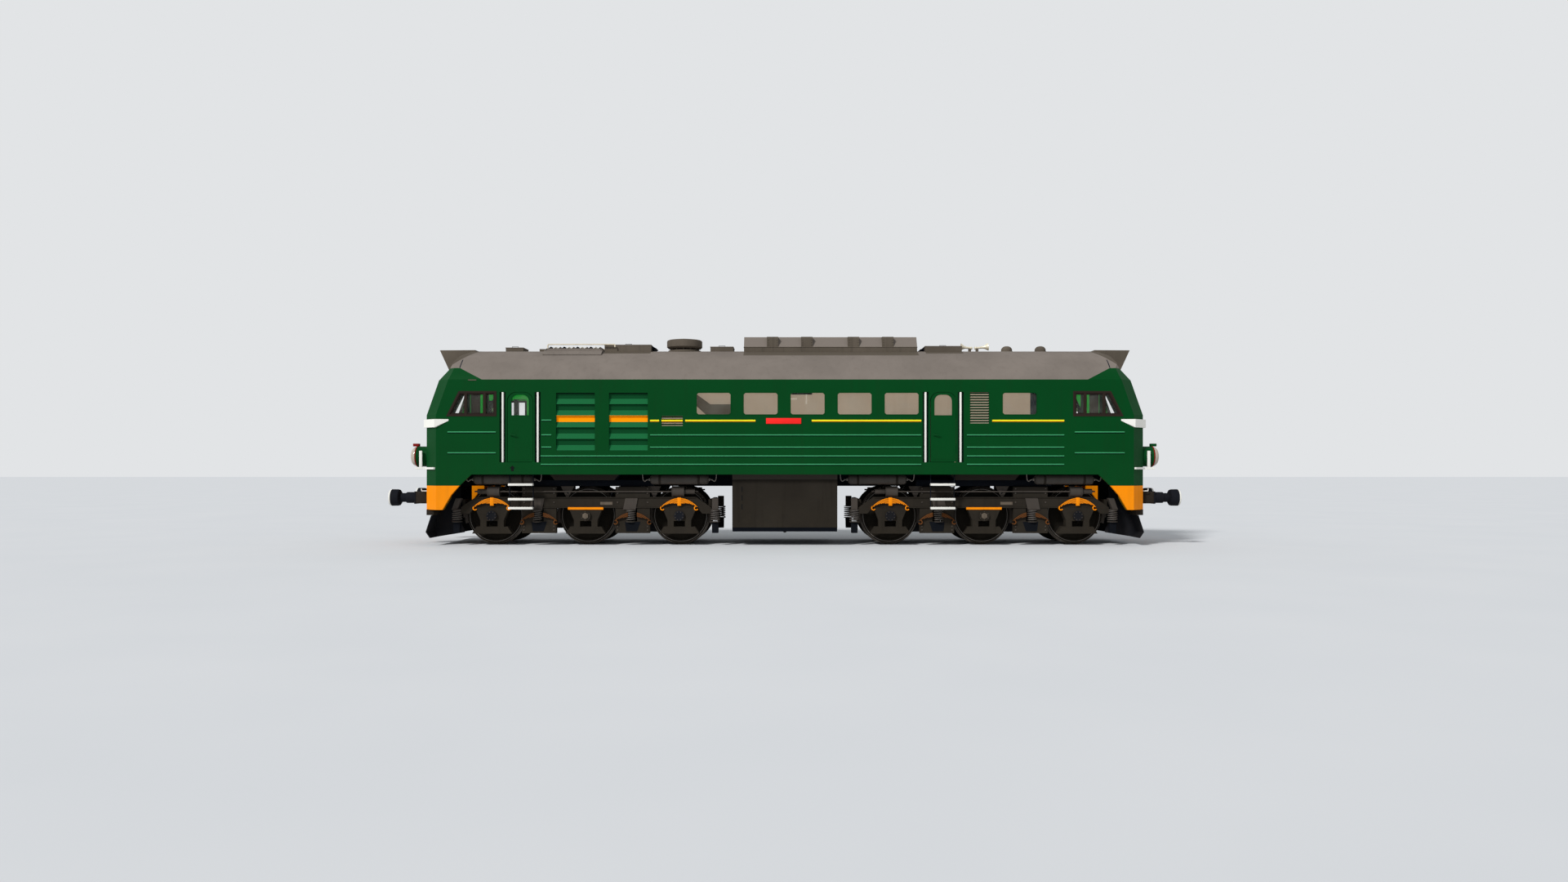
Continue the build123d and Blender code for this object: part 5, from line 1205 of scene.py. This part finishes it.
bufferPlace = at(0, buffer["y"], buffer["z"]) @ alongX
bufferPlate("deepBrown", noseX, 8.19, 0.13, 0.012)
bufferPlate("shadeNavyIron", 8.176, buffer["plateFront"], 0.138)
bufferPlate("shadeNavyIron", noseX - 0.002, buffer["baseFront"], 0.155)
bufferBolts(buffer["plateFront"], 0.112)
bufferBolts(buffer["baseFront"], 0.142)
barrelRings = [(8.2, 0.08), (8.2, 0.135), (8.222, 0.135), (8.225, 0.122), (8.4, 0.122), (8.41, 0.118),
               (8.41, 0.1), (8.56, 0.1)]
headRings = [(8.545, 0.1), (8.552, 0.15), (8.568, 0.174), (8.60, 0.183), (8.735, 0.185), (8.766, 0.182),
             (8.7745, 0.172), (8.775, 0.15), (8.775, 0.02)]
turnPiece("barrel", "shadeNavyIron", barrelRings, 40, bufferPlace)
head = turnPiece("bufferHead", "shadeNavyIron", headRings, 48, bufferPlace)
coat(head, "shadeNavyIron", "whiteCoat")
for part in head.data.polygons:
    reach = hypot(part.center.y - buffer["y"], part.center.z - buffer["z"])
    if reach > buffer["rim"] and part.center.x > 8.735:
        part.material_index = 1
grab = [(0, 1.2), (0.13, 1.2), (0.14, 1.21), (0.14, 1.25)]
pipe("grab", "whiteCoat", [(noseX + out, -1.085, z) for out, z in grab], 0.011, soft=False)
buffers = finishPiece("buffers_turned", onAllCorners())
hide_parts("buffers")

# Nose fittings: wipers, headlight reflectors and air cocks
rakeFoot, rakeHead = Vector((noseX, 0, 2.865)), Vector((noseX - 0.27, 0, 3.63))
rakeUp = (rakeHead - rakeFoot).normalized()
rakeOut = Vector((rakeUp.z, 0, -rakeUp.x))
headlight = at(7.70, -0.15, 4.225) @ alongX


def onRake(y, up, out):
    # a point on the windscreen's slope
    return rakeFoot + rakeUp * up + rakeOut * out + Vector((0, y, 0))


turnPiece("wiperBoss", "shadeNavyIron", [(0, 0.028), (0.022, 0.028), (0.028, 0.015)], 16,
          at(*onRake(-0.62, 0.025, 0)) @ Matrix.Rotation(radians(90 - 19.4), 4, "Y"))
arm = [onRake(-0.62, 0.025, 0.024), onRake(-0.5, 0.26, 0.03), onRake(-0.42, 0.45, 0.018)]
pipe("wiperArm", "shadeNavyIron", arm, 0.007)
pipe("wiperBlade", "shadeNavyIron", [onRake(-0.54, 0.2, 0.012), onRake(-0.31, 0.68, 0.012)], 0.009,
     soft=False)
turnPiece("reflector", "paleIron", [(0, 0.05), (0, 0.128), (0.012, 0.128), (0.012, 0.112)], 40,
          headlight)
bulge = [(0.008 + 0.03 * sin(radians(a)), 0.116 * cos(radians(a))) for a in range(0, 86, 17)]
turnPiece("bulbGlass", "lensGlass", [(0.006, 0.118)] + bulge, 40, headlight)
cock = [(-0.03, -0.42, 0.98), (0.10, -0.42, 0.98), (0.14, -0.40, 0.93), (0.15, -0.38, 0.86)]
pipe("airCock", "shadeNavyIron", [(noseX + out, y, z) for out, y, z in cock], 0.022)
block("cockHandle", "redCoat", (noseX + 0.07, -0.47, 0.998), (noseX + 0.10, -0.40, 1.012), 0.004, 1)
finishPiece("nose_fittings", onAllCorners())
print("ends")


# Roof ventilator and the two domes
roofDome = {"x": (5.118, 5.893), "ventX": -2.309, "fins": 12}
vent = at(roofDome["ventX"], 0, 0)
capRings = [(4.445, 0.12), (4.445, 0.35), (4.452, 0.372), (4.482, 0.405), (4.61, 0.405), (4.632, 0.396),
            (4.645, 0.37), (4.686, 0.05)]
domeRings = [(4.376, 0.135), (4.40, 0.135), (4.404, 0.126), (4.438, 0.126), (4.475, 0.108),
             (4.50, 0.08), (4.513, 0.04), (4.5145, 0.01)]
turnPiece("ventCap", "gearTaupe", capRings, 64, vent)
turnPiece("ventStem", "gearTaupe", [(4.372, 0.132), (4.455, 0.132)], 32, vent)
turnPiece("ventCurb", "gearTaupe", [(4.35, 0.377), (4.398, 0.377), (4.406, 0.37), (4.406, 0.15)], 48,
          vent)
for i in range(roofDome["fins"]):
    block("ventFin", "gearTaupe", (0.13, -0.006, 4.40), (0.33, 0.006, 4.45), 0.002, 1,
          vent @ Matrix.Rotation(i * 2 * pi / roofDome["fins"], 4, "Z"))
for x in roofDome["x"]:
    turnPiece("dome", "gearTaupe", domeRings, 40, at(x, 0, 0))
vents = finishPiece("roof_vents_turned", takeTray())
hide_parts("roof_vents")

# Louvres over the fan: curb, slanted blades and rails
louvre = {"half": 0.60, "low": 4.385, "high": 4.44, "first": -5.345, "pitch": 0.1, "count": 12,
          "railY": 0.5, "railTop": 4.502}
for side in sides:
    wall = [(-5.44, 4.25), (-4.09, 4.25), (-4.13, 4.398), (-5.36, 4.398)]
    sidePlate("curbWall", "curbTaupe", wall, 0.03, side * 0.615 + 0.015, 0.003)
    skirt = [(side * 0.6, 4.36), (side * 0.6, 4.30), (side * 0.8, 4.235), (side * 0.8, 4.255)]
    plate("curbSkirt", "curbTaupe", skirt, 1.31, 0, at(-5.415, 0, 0) @ alongX)
    top = louvre["railTop"]
    rail = [(-5.36, 4.39), (-5.36, top - 0.02), (-5.34, top), (-3.86, top), (-3.84, top - 0.02),
            (-3.84, 4.44)]
    rail = [(x, side * louvre["railY"], z) for x, z in rail]
    pipe("roofRail", "creamCoat", rail, 0.015, soft=False, segments=2)
for low, high, thick in ((-5.44, -5.36, 0.03), (-4.09, -4.13, -0.03)):
    outline = [(low, 4.30), (high, 4.398), (high + thick, 4.398), (low + thick, 4.30)]
    sidePlate("curbEnd", "curbTaupe", outline, 1.26, 0.63)
for i in range(louvre["count"]):
    x, low, high = louvre["first"] + i * louvre["pitch"], louvre["low"], louvre["high"]
    outline = [(x, low), (x + 0.012, low), (x + 0.085, high - 0.01), (x + 0.085, high),
               (x + 0.07, high)]
    # every third blade is dark navy: painted shade between the white blades
    finish = "whiteCoat" if i % 3 else "shadeNavyIron"
    sidePlate("louvreBlade", finish, outline, 2 * louvre["half"], louvre["half"])
louvres = finishPiece("fan_louvres_slatted", takeTray())
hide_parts("fan_louvres")

# Horns, the one that faces cab a is shorter
hornRings = [(0, 0.012), (0, 0.032), (0.035, 0.036), (0.05, 0.024), (0.18, 0.026), (0.225, 0.036),
             (0.262, 0.054), (0.29, 0.072), (0.312, 0.0845), (0.318, 0.085), (0.312, 0.08),
             (0.27, 0.045), (0.2, 0.012)]
hornSpot = {"z": 4.47, "tilt": 84, "pair": ((4.375, 1, 1), (4.325, -1, 0.835))}
for x, turn, length in hornSpot["pair"]:
    tilt = Matrix.Rotation(radians(hornSpot["tilt"]) * turn, 4, "Y")
    place = at(x, 0, hornSpot["z"]) @ tilt @ Matrix.Diagonal((1, 1, length, 1))
    turnPiece("horn", "hornBrass", hornRings, 32, place)
    blockAt("hornFoot", "gearTaupe", (x + turn * 0.06, 0, 4.41), (0.03, 0.03, 0.05), 0.006)
horns = finishPiece("horns_turned", takeTray())
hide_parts("horns")

# Hatch lids with handles, and wedges at their ends. Each hatch: middle, length, half width, top
hatchTable = [(-6.175, 0.400, 0.250, 4.455), (-3.560, 1.055, 0.430, 4.500),
              (-1.436, 0.520, 0.300, 4.470), (3.600, 0.833, 0.430, 4.470)]
for x, length, half, top in hatchTable:
    blockAt("hatchLid", "curbTaupe", (x, 0, top - 0.003), (length / 2 + 0.008, half + 0.008, 0.009),
            0.005, 1)
    for side in sides:
        grip = [(-0.07, 0), (-0.07, 0.03), (0.07, 0.03), (0.07, 0)]
        grip = [(x + along, side * half * 0.7, top + up) for along, up in grip]
        pipe("hatchHandle", "shadeNavyIron", grip, 0.007, soft=False, segments=1)
for x, turn, low, high in ((-3.03, 1, 4.40, 4.49), (3.183, -1, 4.385, 4.45)):
    outline = [(x, low), (x, high), (x + turn * 0.09, (low + high) / 2)]
    sidePlate("hatchWedge", "shadowNavy", outline, 0.5, 0.25)
finishPiece("hatch_fittings", takeTray())

# Silencer: ledge, bolts on the posts and the outlet
silencer = {"posts": (-0.277, 0.5, 1.555, 2.333), "y": 0.46, "outletX": 1.03, "top": 4.689}
block("ledge", "gearTaupe", (-0.933, -0.468, 4.436), (3.007, 0.468, 4.452), 0.004, 1)
for side in sides:
    rows = [(x + d, side * silencer["y"], 4.50 + 0.055 * i)
            for x in silencer["posts"] for d in (-0.1, 0.1) for i in range(3)]
    boltsAt(rows, upright if side < 0 else alongY, 0.8, "gearTaupe")
outlet, top = silencer["outletX"], at(0, 0, silencer["top"])
ringPlate("outlet", "shadeNavyIron", cutCorners(outlet, 0, 0.70, 0.36, 0.05), 0.03, 0.008, top)
plate("outletBed", "shadowNavy", cutCorners(outlet, 0, 0.65, 0.31, 0.04), 0.003, 0, top)
finishPiece("silencer_fittings", takeTray())
removePieces(boltPattern)
print("roof")


# Stage, lamps and camera
camera = {"distance": 25.0, "side": -0.018, "eye": 1.69, "lens": 24.87, "sensor": 36, "shift": 0.0177,
          "sight": 500, "floor": 400}
place = (camera["side"], -camera["distance"], camera["eye"])
bpy.ops.object.camera_add(location=place, rotation=(radians(90), 0, 0))
eye = bpy.context.object
eye.name = "eye"
eye.data.lens = camera["lens"]
eye.data.sensor_width = camera["sensor"]
eye.data.shift_y = camera["shift"]
eye.data.clip_end = camera["sight"]
scene.camera = eye

clearSelection()
bpy.ops.mesh.primitive_plane_add(size=camera["floor"], location=(0, 0, 0))
floor = bpy.context.object
floor.name = "floor"
floorPale, shader = newMaterial("floorPale")
mottle = noise(put("TexCoord", {})["Object"], 0.4, 2.0)
feed(shader, {"Base Color": mixColour(mottle, paint(222, 224, 226), paint(228, 229, 230)),
              "Roughness": 0.9, "Specular IOR Level": 0.0})
floor.data.materials.append(floorPale)

world = bpy.data.worlds.new("softRoom")
scene.world = world
world.use_nodes = True
bench["tree"] = world.node_tree
rays = put("LightPath", {})
seen = either(rays["Is Camera Ray"], either(rays["Is Glossy Ray"], rays["Is Transmission Ray"]))
backdrop = put("Background", {0: paint(226, 228, 230), 1: 1.0})[0]
lighting = put("Background", {0: paint(236, 240, 245), 1: 0.5})[0]
feed(world.node_tree.nodes["World Output"],
     {0: put("MixShader", {0: seen, 1: lighting, 2: backdrop})[0]})

sunLook = {"strength": 2.4, "angle": 10, "turn": (52, 0, -38)}
bpy.ops.object.light_add(type="SUN", rotation=[radians(a) for a in sunLook["turn"]])
sun = bpy.context.object
sun.data.energy = sunLook["strength"]
sun.data.angle = radians(sunLook["angle"])

scene.view_settings.view_transform = "Standard"
